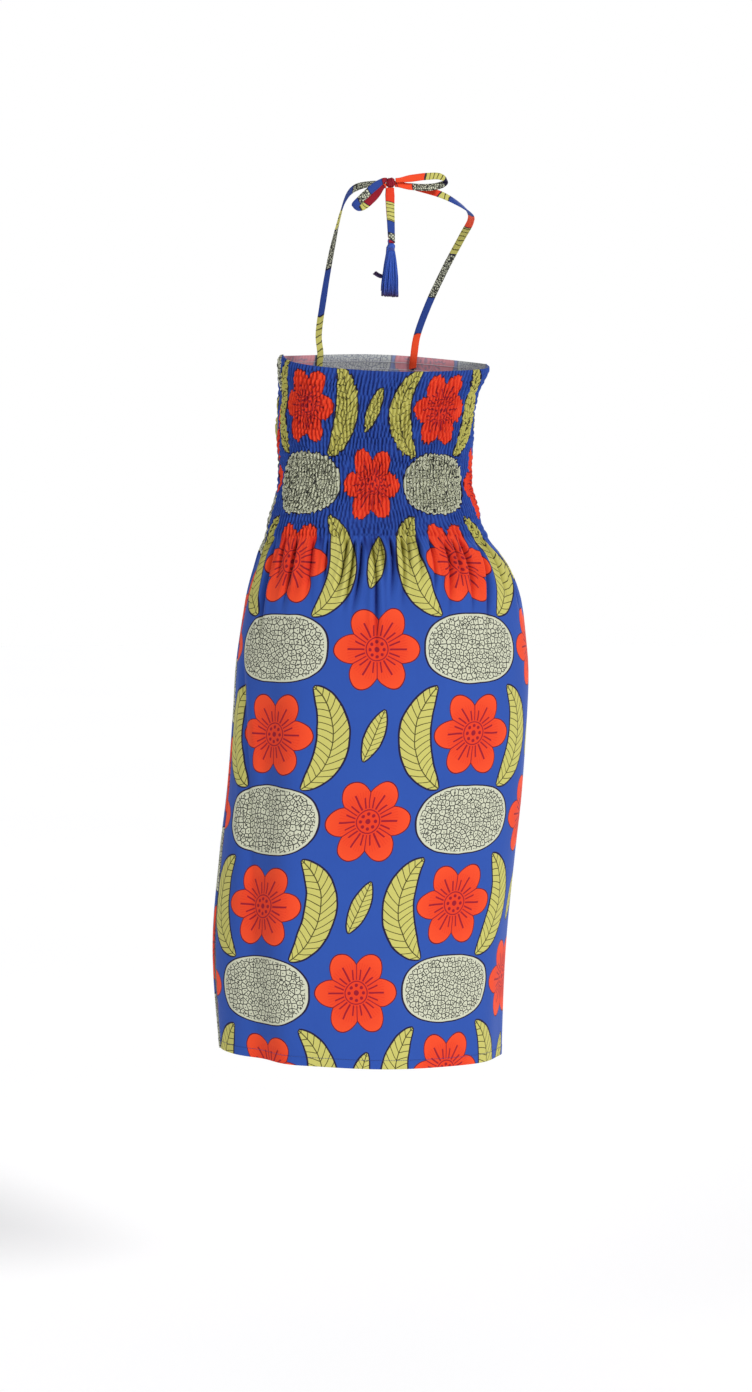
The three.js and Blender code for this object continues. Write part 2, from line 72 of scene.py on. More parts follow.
LEFT_TOP, RIGHT_TOP, BACK_TOP, FRONT_TOP = 15, 8, -11, 26  # heights of the top edge
LEFT_HEM, RIGHT_HEM = -836, -857
LAST_THREAD = -206
THREADS = 27  # rows of elastic, 7.6 mm apart when worn
PANEL = 510  # flat width of one panel
SHIRRED = 229  # flat height of the shirred cloth
PUCKER = 6.9  # flat cloth in one pucker
CLOTH = 1.0  # drawn thickness of the wall, a voile of 0.3 mm with its nap and folds
TURNED = 12  # depth of the hem's turning
HEM_STITCH = 10.6  # height of the hem's stitching
STITCHES = 150  # stitches in a panel's hem
UPPER_COLUMNS, LOWER_COLUMNS, INNER_COLUMNS = 600, 300, 150  # of a panel's three grids
CLOSE_RINGS = 9  # rings of the drawn cloth close under the last thread
HEM_RINGS = 14  # height above the hem where its own rings begin
FLAT_TOP = 950  # where a panel's top edge lies on the flat cloth
SUNK = 0.9  # how far the relief's zero lies inside the plain form

KNOT_AT = np.array([7.0, 80.0, 214.0])
KNOT_SIZE = np.array([10.0, 11.0, 12.0])
TIE_WIDTH, TIE_THICK = 9.0, 2.2
TIE_PLACES = 44  # points round a tie's section
TIE_GAP = 0.4  # between the knot and each loop or end
SEWN_AT = 62  # how far from the middle each tie is sewn on

# Gathers: where each starts on the last thread, its length, how far it stands out, its width and its drift.
GATHERS = {
    1: [
        (0.06, 150, 3.8, 15, -0.01), (0.15, 90, 3.1, 12, -0.02), (0.23, 130, 4.1, 14, -0.03),
        (0.34, 110, 4.3, 13, -0.04), (0.42, 140, 4.6, 14, -0.01), (0.5, 90, 3.6, 12, 0),
        (0.58, 110, 4.3, 13, 0.01), (0.67, 130, 3.6, 14, 0.02), (0.76, 100, 4.1, 13, 0.02),
        (0.86, 160, 4.6, 15, 0.03), (0.95, 120, 3.4, 12, 0.01),
    ],
    -1: [
        (0.05, 130, 3.6, 14, 0), (0.14, 110, 4.1, 13, -0.02), (0.25, 150, 4.3, 15, -0.02),
        (0.35, 100, 3.6, 13, -0.01), (0.44, 140, 4.6, 14, 0.01), (0.53, 90, 3.8, 13, 0),
        (0.63, 130, 4.3, 14, 0.02), (0.73, 110, 3.6, 13, 0.03), (0.84, 150, 4.3, 15, 0.02),
        (0.94, 100, 3.6, 13, 0),
    ],
}
# Long soft flutes of the free skirt: place, the height where each starts, how far it stands out, its width.
FLUTES = {
    1: [
        (0.165, -260, -7, 24), (0.25, -260, 5.5, 27), (0.5, -560, -2.5, 60), (0.8, -480, 3.5, 40),
        (0.92, -520, -4, 30),
    ],
    -1: [
        (0.1, -450, 4, 36), (0.27, -480, -5, 34), (0.45, -520, 4, 44), (0.62, -470, -5, 36),
        (0.84, -500, 4, 40),
    ],
}
# Creases: share at the top and at the bottom, height there and there, depth, width.
CREASES = {
    1: [
        (0.03, 0.045, -208, -300, 2.4, 5), (0.092, 0.13, -208, -350, 3, 5),
        (0.14, 0.15, -208, -270, 2.2, 4), (0.19, 0.185, -208, -305, 2.8, 4.5),
        (0.243, 0.247, -208, -290, 2.4, 4), (0.292, 0.287, -208, -280, 2.4, 3.5),
        (0.355, 0.322, -208, -292, 3.4, 3.6), (0.378, 0.345, -208, -305, 3.6, 3.4),
        (0.4, 0.367, -208, -312, 3.4, 3.8), (0.427, 0.434, -208, -370, 3.2, 4.6),
        (0.458, 0.452, -208, -262, 2.2, 3.2), (0.49, 0.466, -208, -292, 3, 3.8),
        (0.525, 0.495, -208, -296, 3, 3.8), (0.548, 0.518, -208, -262, 2.2, 3.2),
        (0.578, 0.55, -208, -270, 2.4, 3.4), (0.618, 0.58, -208, -292, 2.6, 3.8),
        (0.67, 0.618, -208, -306, 2.8, 4.2), (0.7, 0.665, -208, -272, 2.2, 3.6),
        (0.728, 0.684, -208, -312, 3, 4.2), (0.797, 0.718, -208, -335, 3.2, 4.8),
        (0.845, 0.82, -208, -290, 2.6, 4.2), (0.9, 0.87, -208, -310, 3, 5),
        (0.94, 0.978, -208, -360, 3.6, 6), (0.05, 0.185, -330, -760, 2.6, 12),
    ],
    -1: [
        (0.05, 0.06, -208, -300, 2.6, 4.6), (0.1, 0.085, -208, -330, 3, 5),
        (0.15, 0.14, -208, -275, 2.4, 3.8), (0.2, 0.175, -208, -300, 2.8, 4.2),
        (0.245, 0.25, -208, -270, 2.2, 3.6), (0.3, 0.268, -208, -340, 3.4, 4.8),
        (0.335, 0.31, -208, -290, 2.8, 4), (0.385, 0.375, -208, -285, 2.6, 3.8),
        (0.43, 0.425, -208, -265, 2.2, 3.4), (0.475, 0.48, -208, -320, 3.2, 4.4),
        (0.515, 0.52, -208, -275, 2.4, 3.6), (0.565, 0.58, -208, -290, 2.8, 4),
        (0.61, 0.632, -208, -275, 2.4, 3.6), (0.665, 0.7, -208, -330, 3.4, 4.8),
        (0.71, 0.73, -208, -285, 2.6, 4), (0.76, 0.785, -208, -300, 2.8, 4),
        (0.81, 0.818, -208, -272, 2.2, 3.6), (0.87, 0.9, -208, -335, 3.2, 5),
        (0.93, 0.94, -208, -290, 2.6, 4.4), (0.97, 0.96, -330, -700, 1.6, 12),
    ],
}

# Ties: each row is a place on the middle line and the way the outer face looks.
TIE_ROUTES = {
    "left": [
        (62, -92, 48, 0.3, -0.85, 0.4), (59, -77, 90, 0.35, -0.8, 0.5), (55, -52, 138, 0.5, -0.7, 0.5),
        (50, -22, 182, 0.85, -0.3, 0.4), (47, 12, 206, 1, 0.1, 0.15), (41, 43, 213, 0.8, 0.6, 0.05),
        (26, 66, 214.5, 0.35, 0.9, 0), (16.4, 76.6, 214, 0, 1, 0), (12.4, 76.6, 214, 0, 1, 0),
    ],
    "right": [
        (-66, -95, 50, -0.3, -0.85, 0.4), (-79, -85, 90, -0.35, -0.8, 0.5),
        (-96, -62, 134, -0.45, -0.65, 0.6), (-109, -30, 168, -0.5, -0.3, 0.8),
        (-111, 4, 182.5, -0.4, 0.1, 0.9), (-103, 32, 188, -0.2, 0.5, 0.8), (-84, 53, 195.5, -0.1, 0.8, 0.6),
        (-58, 67, 204, -0.05, 0.95, 0.3), (-28, 74, 209.5, 0, 1, 0.1), (-2.4, 76.6, 214, 0, 1, 0),
        (1.6, 76.6, 214, 0, 1, 0),
    ],
}
LOOP_ROUTES = {  # from the middle of the knot's face
    "left": [
        (0, 4.2, 2.2, 0, 1, 0), (3, 4.2, 2.2, 0, 1, 0), (16, 6.5, -7, 0.1, 1, -0.1),
        (31, 7.5, -20.5, 0.15, 1, -0.1), (40, 4.5, -31, 0.8, 0, -0.6), (29, 1.2, -29.5, 0.15, -1, -0.1),
        (16, 0.4, -19, 0, -1, 0), (3, 0.4, -4.2, 0, -1, 0), (0, 0.4, -4.2, 0, -1, 0),
    ],
    "right": [
        (0, 4.4, 2.6, 0, 1, 0.15), (-3, 4.4, 2.6, 0, 1, 0.15), (-18, 5.6, 5, 0, 0.95, 0.3),
        (-38, 7.2, 7.8, 0, 0.95, 0.3), (-54, 7.8, 8, -0.2, 0.9, 0.35), (-62.5, 6, 3, -1, 0, 0),
        (-54, 4.2, -2, -0.2, -0.9, -0.35), (-38, 3, -4.6, 0, -0.95, -0.3), (-18, 1.8, -4, 0, -0.95, -0.3),
        (-3, 0.8, -2.4, 0, -1, -0.15), (0, 0.8, -2.4, 0, -1, -0.15),
    ],
}
END_ROUTES = {  # from under the knot
    "outer": [
        (1, 3.2, 0, 0, 1, 0), (1, 3.2, -3, 0, 1, 0), (2.2, 9, -18, 0, 1, 0.1), (3, 17, -42, 0, 1, 0.2),
        (3.2, 23, -68, 0, 1, 0.15),
    ],
    "inner": [
        (0.5, -2.4, 0, 0, 1, 0), (0.5, -2.4, -3, 0, 1, 0), (1, 1, -18, 0, 1, 0.1), (1, 5.5, -40, 0, 1, 0.2),
        (1, 8.5, -60, 0, 1, 0.15),
    ],
}
# The knot's furrows: place along it from -1 to 1, depth and width as shares, and slant.
FURROWS = [
    (-0.62, 0.13, 0.1, 0.12), (-0.2, 0.17, 0.08, 0.2), (0.12, 0.1, 0.07, 0.14), (0.5, 0.16, 0.09, 0.22),
    (0.78, 0.08, 0.07, 0.1),
]
TASSEL_LENGTH, TASSEL_SPREAD, HEAD_RADIUS, HEAD_HEIGHT = 64, 10.8, 4.3, 11
STRANDS, STRAND_STEPS = 150, 22
HEAD_RINGS, HEAD_PLACES = 70, 48
WOUND = (0.46, 0.86)  # the stretch of the head that is wound with thread, as shares of its height
# A tassel's head: share of its height from the top, and its radius as a share.
HEAD_PROFILE = [
    (0, 0.3), (0.05, 0.66), (0.15, 0.86), (0.3, 0.92), (0.42, 0.88), (0.5, 0.8), (0.84, 0.8), (0.9, 0.88),
    (1, 0.95),
]


# ---------------------------------------------------------------- small helpers
def smooth(t):
    """0 up to t = 0, 1 from t = 1, and t²(3 - 2t) between."""
    t = np.clip(t, 0, 1)
    return t * t * (3 - 2 * t)


def bell(distance, width):
    """e to the power of minus the square of distance over width."""
    return np.exp(-((distance / width) ** 2))


def ripple(a, b, seed, waves=9):
    """Smooth unevenness from -1 to 1: the mean of cosines of a and b with seeded pitches and phases."""
    dice = np.random.default_rng(seed)
    total = 0
    for turn, pitch, phase in dice.uniform((0, 0.6, 0), (2 * np.pi, 1.7, 2 * np.pi), (waves, 3)):
        total = total + np.cos(pitch * (a * np.cos(turn) + b * np.sin(turn)) + phase)
    return total / waves * 1.8


def unit(v):
    return v / np.linalg.norm(v, axis=-1, keepdims=True)


def finish_mesh(name, points, faces, uv=None, values=None, slots=None):
    """An object from points in millimetres and a list of face arrays, each (number, corners)."""
    mesh = bpy.data.meshes.new(name)
    points = np.asarray(points, np.float32).reshape(-1, 3) * MM
    corners = np.concatenate([f.ravel() for f in faces]).astype(np.int32)
    sizes = np.concatenate([np.full(len(f), f.shape[1], np.int32) for f in faces])
    mesh.vertices.add(len(points))
    mesh.vertices.foreach_set("co", points.ravel())
    mesh.loops.add(len(corners))
    mesh.loops.foreach_set("vertex_index", corners)
    mesh.polygons.add(len(sizes))
    mesh.polygons.foreach_set("loop_start", np.concatenate([[0], np.cumsum(sizes)[:-1]]).astype(np.int32))
    if slots is not None:
        mesh.polygons.foreach_set("material_index", np.concatenate(slots).astype(np.int32))
    mesh.update(calc_edges=True)
    mesh.validate()
    mesh.shade_smooth()
    if uv is not None:
        layer = mesh.uv_layers.new(name="flat_cloth")
        layer.uv.foreach_set("vector", np.asarray(uv, np.float32).reshape(-1, 2)[corners].ravel())
    # the hollow attribute: how strong the painted shade is on cloth pieces, and the place along each strand
    # on yarn pieces
    if values is not None:
        layer = mesh.attributes.new("hollow", "FLOAT", "POINT")
        layer.data.foreach_set("value", np.asarray(values, np.float32).ravel())
    made = bpy.data.objects.new(name, mesh)
    bpy.context.scene.collection.objects.link(made)
    return made


def stitch(a, b):
    """Faces between two lines of point numbers, where a has a whole number of steps for each step of b.
    Equal lines give quads. Otherwise each step of b takes a fan of a's steps from each of its ends."""
    k = (len(a) - 1) // (len(b) - 1)
    if k == 1:
        return [np.stack([a[:-1], a[1:], b[1:], b[:-1]], 1)]
    start, half = np.arange(len(b) - 1) * k, k // 2
    fans = []
    for step in range(k):
        apex = b[:-1] if step < half else b[1:]
        fans.append(np.stack([a[start + step], a[start + step + 1], apex], 1))
    fans.append(np.stack([a[start + half], b[1:], b[:-1]], 1))
    return fans


def grid_faces(numbers):
    """Quads of a grid of point numbers, row by row."""
    corners = [numbers[:-1, :-1], numbers[:-1, 1:], numbers[1:, 1:], numbers[1:, :-1]]
    return np.stack([c.ravel() for c in corners], 1)


def skin(rings, places, flipped=False):
    """Faces round a grid of rings by places. Either end closes on a point, numbered after the grid."""
    numbers = np.arange(rings * places).reshape(rings, places)
    turned = np.roll(numbers, -1, axis=1)
    wall = grid_faces(np.concatenate([numbers, numbers[:, :1]], 1))[:, ::-1]
    low = np.stack([numbers[0], turned[0], np.full(places, numbers.size)], 1)
    high = np.stack([turned[-1], numbers[-1], np.full(places, numbers.size + 1)], 1)
    return [f[:, ::-1] if flipped else f for f in (wall, low, high)]


def tubes(paths, first, second, radius, sides=6):
    """Round threads, many at once, and a value from 0 to 1 along each. paths is (threads, steps, 3), and
    first and second are directions across them. Each ring is radius·(cos·first + sin·second) about the path,
    and both ends close on a point."""
    threads, steps = paths.shape[:2]
    angle = np.linspace(0, 2 * np.pi, sides, endpoint=False)[:, None]
    radius = np.broadcast_to(np.asarray(radius, float), (threads, steps))[..., None, None]
    ring = np.cos(angle) * first[..., None, :] + np.sin(angle) * second[..., None, :]
    rings = paths[..., None, :] + radius * ring
    numbers = np.arange(threads * steps * sides).reshape(threads, steps, sides)
    turned = np.roll(numbers, -1, axis=2)
    quads = np.stack([numbers[:, :-1], turned[:, :-1], turned[:, 1:], numbers[:, 1:]], -1)
    start = np.repeat(np.arange(threads)[:, None] + numbers.size, sides, 1)
    low = np.stack([turned[:, 0], numbers[:, 0], start], -1)
    high = np.stack([numbers[:, -1], turned[:, -1], start + threads], -1)
    points = np.concatenate([rings.reshape(-1, 3), paths[:, 0], paths[:, -1]])
    along = np.broadcast_to(np.linspace(0, 1, steps)[:, None], numbers.shape)
    value = np.concatenate([along.ravel(), np.zeros(threads), np.ones(threads)])
    return points, [quads.reshape(-1, 4), low.reshape(-1, 3), high.reshape(-1, 3)], value


# ---------------------------------------------------------------- the plain form
def level(column, z):
    """A cubic curve through one column of LEVELS, each row's slope taken from the rows beside it."""
    i = np.clip(np.searchsorted(-HEIGHT, -z, side="right") - 1, 0, len(HEIGHT) - 2)
    row = np.arange(len(HEIGHT))
    above, below = np.maximum(row - 1, 0), np.minimum(row + 1, len(HEIGHT) - 1)
    slope = (column[below] - column[above]) / (HEIGHT[below] - HEIGHT[above])
    span = HEIGHT[i + 1] - HEIGHT[i]
    t = (z - HEIGHT[i]) / span
    start = column[i] * (1 + 2 * t) * (1 - t) ** 2 + slope[i] * span * t * (1 - t) ** 2
    return start + column[i + 1] * t * t * (3 - 2 * t) - slope[i + 1] * span * t * t * (1 - t)


TABLE_Z = np.linspace(44, -872, 459)
TABLE_SHARES = 601


def form_table(side):
    """The plain form at equal steps of arc: x, y, the way out and the panel's whole arc, by height and share.
    A section is a superellipse: x = sway + half width·cosᵖ, y = depth·sinᵖ, with p = 2 / squareness."""
    angle = np.linspace(0, np.pi, 901)
    z = TABLE_Z[:, None]
    power = 2 / level(SQUARENESS, z)
    cos, sin = np.cos(angle), np.abs(np.sin(angle))
    x = level(SWAY, z) + level(HALF_WIDTH, z) * np.sign(cos) * np.abs(cos) ** power
    y = side * level(BACK_DEPTH if side > 0 else FRONT_DEPTH, z) * sin**power
    steps = np.hypot(np.diff(x), np.diff(y))
    arc = np.concatenate([np.zeros((len(z), 1)), np.cumsum(steps, 1)], 1)
    share = np.linspace(0, 1, TABLE_SHARES)
    want = 0.06 + share * (arc[:, -1:] - 0.12)
    x = np.stack([np.interp(w, a, row) for w, a, row in zip(want, arc, x)])
    y = np.stack([np.interp(w, a, row) for w, a, row in zip(want, arc, y)])
    along = unit(np.stack([np.gradient(x, axis=1), np.gradient(y, axis=1)], -1))
    total = np.broadcast_to(arc[:, -1:], x.shape)
    return np.stack([x, y, side * along[..., 1], -side * along[..., 0], total], -1)


TABLES = {side: form_table(side) for side in (1, -1)}


def form(side, share, z):
    """Even reading of a form table between its four nearest entries."""
    table = TABLES[side]
    row = np.clip((TABLE_Z[0] - z) / (TABLE_Z[0] - TABLE_Z[1]), 0, len(TABLE_Z) - 1.001)
    column = np.clip(share * (TABLE_SHARES - 1), 0, TABLE_SHARES - 1.001)
    i, j = row.astype(int), column.astype(int)
    u, v = (row - i)[..., None], (column - j)[..., None]
    upper = table[i, j] * (1 - v) + table[i, j + 1] * v
    return upper * (1 - u) + (table[i + 1, j] * (1 - v) + table[i + 1, j + 1] * v) * u


def stand_off(at, stand, z):
    """Points that far off the plain form, along its way out."""
    return np.stack([at[..., 0] + at[..., 2] * stand, at[..., 1] + at[..., 3] * stand, z], -1)


def top_edge(side, share):
    """Straight between the sides' heights, and towards the middle's height by a power of sin(pi·share)."""
    sides = LEFT_TOP + (RIGHT_TOP - LEFT_TOP) * share
    arch = np.sin(np.pi * np.clip(share, 0, 1))
    middle, power = (BACK_TOP, 0.7) if side > 0 else (FRONT_TOP, 1.3)
    return sides + (middle - sides) * arch**power


def hem_edge(share):
    return LEFT_HEM + (RIGHT_HEM - LEFT_HEM) * share


# ---------------------------------------------------------------- how the cloth stands off the form
ROW_DICE = np.random.default_rng(41)
ROW_PHASE = np.cumsum(ROW_DICE.choice([-1, 1], THREADS + 2) * ROW_DICE.uniform(0.06, 0.5, THREADS + 2))


def pleats(side, share, row):
    """Where a place lies in its pucker, in turns: 0 on the ridge and half a turn in the dip. The ridges run
    nearly upright, and near each thread they start afresh, in step with the last ones here and not there."""
    number = np.clip(row + 0.42 * ripple(share * 120, row * 0.7, 13 + side), 0, THREADS).astype(int)
    wander = 0.8 * ripple(share * 24, number * 1.9, 7 + side) + 0.35 * ripple(share * 22, row * 0.9, 9 + side)
    jitter = 0.13 * ripple(share * 170, number * 2.3, 15 + side)
    return share * PANEL / PUCKER + ROW_PHASE[number] + wander + jitter


def puffs(side, share, row):
    """Shirring, and how deep in a dip each place is, which sets the painted shade there. Across the panel the
    cloth stands out in round ridges with narrow dips, a power of a raised cosine, uneven in height.
    Between two threads it stands out a little more, by a rounded sine of the row's fraction."""
    number = np.minimum(row.astype(int), THREADS)
    pucker = (0.5 + 0.5 * np.cos(2 * np.pi * pleats(side, share, row))) ** 0.7
    size = 1 + 0.5 * ripple(share * 60, row * 1.3, 11 + side)
    between = np.sin(np.pi * np.clip(row - number, 0, 1)) ** 0.7
    pinch = 0.22 + 0.2 * ripple(share * 34, number * 1.6, 17 + side)
    edge = 0.4 + 0.6 * smooth(row / 0.8)
    out = edge * (0.1 * between + 3.1 * size * pucker * (1 - pinch + pinch * between)) - SUNK
    # the second value is painted shade: dark in the dips, unevenly strong
    uneven = 1 + 0.45 * ripple(share * 210, row * 2.6, 19 + side)
    return out, 0.16 + 0.9 * uneven * (1 - pucker * (0.84 + 0.16 * between))


def drape(side, share, z, total):
    """The free cloth, and how deep in a crease each place is, which sets the painted shade there. Gathers and
    flutes are bells across the panel that grow and die away down it. Creases are sharp troughs,
    1 / (1 + d²)^1.5, pressed in along slanting lines with a small lip on either side. Below the last thread
    lie the ends of the puckers, and round folds with sharp dips between them, the size of a ripple."""
    out, pressed = 0, 0
    for at, length, depth, width, drift in GATHERS[side]:
        down = (LAST_THREAD - z) / length
        here = bell((share - at - drift * down) * total, width)
        out = out + depth * smooth(down * 6) * (1 - smooth(down)) * here
    for at, start, depth, width in FLUTES[side]:
        grown = smooth((start - z) / 260)
        out = out + depth * grown * bell((share - at) * total, width)
    for at, end, top, bottom, depth, width in CREASES[side]:
        down = np.clip((top - z) / (top - bottom), 0, 1)
        away = np.abs(share - at - (end - at) * down**0.9) * total
        wide = width * (0.75 + 0.7 * down)
        strong = smooth(down * 7) * (1 - smooth(1.7 * down - 0.7)) * min(1, 7 / width)
        here = 1 / (1 + (away / (0.5 * wide)) ** 2) ** 1.5
        out = out - 2 * depth * strong * (here - 0.35 * bell(away - 1.4 * wide, 0.6 * wide))
        # painted shade along the crease's trough
        pressed = pressed + depth / 1.8 * strong * here**2 * min(1, 7 / width) ** 2
    below = LAST_THREAD - z
    across = share * PANEL
    number = np.full_like(share, float(THREADS - 1))
    fine = (0.5 + 0.5 * np.cos(2 * np.pi * pleats(side, share, number))) ** 0.7
    fading = np.exp(-below / 10)
    out = out + 1.9 * fine * fading
    middling = ripple(across / 6.5, below / 34, 23 + side, 14)
    reach = np.exp(-below / (34 + 22 * ripple(across / 26, 0, 29 + side)))
    out = out + 4.4 * (np.abs(middling) ** 0.8 - 0.4) * smooth(below / 7) * reach
    # painted shade in the puckers' ends and in the dips between the folds
    pressed = pressed + (1 - fine) * fading + 1.1 * bell(middling, 0.14) * smooth(below / 5) * reach
    out = out + 1.4 * ripple(across / 42, below / 80, 31 + side) * smooth(below / 60) - SUNK
    return out, np.clip(pressed, 0, 1.8)


def relief(side, share, z, total, row):
    """Puffs down to the last thread and the drape below it, from one run of rings, each with how deep its
    hollows are, for the painted shade.
    """
    gathered = z > LAST_THREAD - 1e-6
    return [np.where(gathered, a, b) for a, b in zip(puffs(side, share, row), drape(side, share, z, total))]


def ring_heights():
    """Each ring's place: rows of thread above, then the share of the free length, then millimetres above the
    hem, which crowd where its turning shows."""
    rows = np.arange(THREADS * 3 + 1) / 3
    close = np.linspace(0, 0.035, CLOSE_RINGS + 1)[1:]
    free = 0.035 + 0.965 * (np.arange(1, 85) / 84) ** 1.15
    hem = np.array([12.8, 12.2, 11.6, 11.0, 10.6, 10.2, 9.6, 7, 4, 2, 0.7, 0])
    return rows, np.concatenate([close, free])[:, None], hem[:, None]


def wall(side, columns, inside):
    """One face of a panel as a grid of rings: its points, its places on the flat cloth and how deep in a dip
    each lies, which sets the painted shade there. The inside keeps clear of the relief near it by the cloth's
    thickness, and is plain where the cloth is shirred."""
    rows, free, hem = ring_heights()
    share = np.linspace(0, 1, columns + 1)
    top, bottom = top_edge(side, share), hem_edge(share)
    z = np.concatenate([top + (LAST_THREAD - top) * rows[:, None] / THREADS,
                        LAST_THREAD + (bottom + HEM_RINGS - LAST_THREAD) * free, bottom + hem])
    row = np.concatenate([rows, np.full(len(z) - len(rows), float(THREADS))])[:, None]
    row, share = np.broadcast_to(row, z.shape), np.broadcast_to(share, z.shape)
    at = form(side, share, z)
    total = at[..., 4]
    stand, low = relief(side, share, z, total, row)
    above_hem = z - hem_edge(share)
    turned = smooth((TURNED + 0.4 - above_hem) / 0.8)
    if inside:
        for aside in (-1, -0.5, 0.5, 1):
            near = np.clip(share + aside / INNER_COLUMNS, 0, 1)
            stand = np.minimum(stand, relief(side, near, z, total, row)[0])
        stand = np.where(z > LAST_THREAD - 1e-6, -SUNK, stand) - CLOTH - 0.7 * turned
    else:
        seam = bell(np.minimum(share, 1 - share) * total, 1.6)
        stand = stand + 0.3 * turned - 0.45 * bell(above_hem - HEM_STITCH, 0.5) - 0.9 * seam
        # painted shade along the seams, where the cloth dips in
        low = np.maximum(low, 0.8 * seam)
    below = LAST_THREAD - z
    flat_down = np.where(row < THREADS, row / THREADS * SHIRRED, SHIRRED + below * 1.01)
    held = np.where(row < THREADS, 1, np.exp(-below / 9))
    crowd = 0.5 * held * np.sin(2 * np.pi * pleats(side, share, np.minimum(row, THREADS - 0.01)))
    jump = held * ripple(share * 360, row * 4, 37 + side, 16)
    across = share * PANEL - crowd * PUCKER / (2 * np.pi) + 1.2 * jump
    uv = np.stack([across, FLAT_TOP - flat_down + 3.8 * jump], -1) * MM
    return stand_off(at, stand, z), uv, low


def panel(name, side):
    """One panel as a closed shell: an outer grid with fewer columns below the gathers, an inner grid with
    fewer columns and a third of the rings, and rims that join them."""
    split = THREADS * 3 + 1 + CLOSE_RINGS
    parts = [[a[:split] for a in wall(side, UPPER_COLUMNS, False)],
             [a[split:] for a in wall(side, LOWER_COLUMNS, False)],
             [a[::3] for a in wall(side, INNER_COLUMNS, True)]]
    sizes = [part[2].size for part in parts]
    up, lo, inn = (np.arange(size).reshape(part[2].shape) + start
                   for size, part, start in zip(sizes, parts, np.cumsum([0] + sizes)))
    left, right = (np.concatenate([up[:, end], lo[:, end]]) for end in (0, -1))
    outside = [grid_faces(up), *stitch(up[-1], lo[0]), grid_faces(lo)]
    rims = [f[:, ::-1] for f in stitch(up[0], inn[0])] + stitch(lo[-1], inn[-1])
    rims += stitch(left, inn[:, 0]) + [f[:, ::-1] for f in stitch(right, inn[:, -1])]
    faces = [*outside, *rims, grid_faces(inn)[:, ::-1]]
    slots = [np.zeros(len(f)) for f in outside + rims] + [np.ones(len(faces[-1]))]
    if side > 0:
        faces = [f[:, ::-1] for f in faces]
    points, uv, low = (np.concatenate([part[k].reshape(size, -1) for size, part in zip(sizes, parts)])
                       for k in range(3))
    return finish_mesh(name, points, faces, uv, low, slots)


# ---------------------------------------------------------------- ties
def curve_at(rows, t):
    """A curve through rows at t from 0 to 1, each span a cubic whose slopes weigh the distances to the next
    rows by their square roots, as in a centripetal spline."""
    rows = np.asarray(rows, float)
    rows = np.concatenate([2 * rows[:1] - rows[1:2], rows, 2 * rows[-1:] - rows[-2:-1]])
    at = t * (len(rows) - 3)
    i = np.minimum(at.astype(int), len(rows) - 4)
    w = (at - i)[:, None]
    a, b, c, d = rows[i], rows[i + 1], rows[i + 2], rows[i + 3]
    before, here, after = (np.linalg.norm(q - p, axis=1)[:, None] ** 0.5 for p, q in ((a, b), (b, c), (c, d)))
    here = np.where(here < 1e-4, 1, here)
    before, after = np.where(before < 1e-4, here, before), np.where(after < 1e-4, here, after)
    start = ((b - a) / before - (c - a) / (before + here) + (c - b) / here) * here
    end = ((c - b) / here - (d - b) / (here + after) + (d - c) / after) * here
    return b + start * w + (3 * (c - b) - 2 * start - end) * w**2 + (2 * (b - c) + start + end) * w**3


def sewn_rows(x):
    """Two rows of a tie's route behind the front panel's top edge, at that distance across."""
    found = []
    share = np.linspace(0, 1, 2001)
    for z in (8.0, 24.0):
        at = form(-1, share, np.full(2001, z))
        place = at[np.argmin(np.abs(at[:, 0] - x))]
        depth = 1.3 + TIE_THICK / 2 + 1.35  # behind the cloth, and half a tie further
        found.append((place[0] - place[2] * depth, place[1] - place[3] * depth, z, place[2], place[3], 0))
    return found


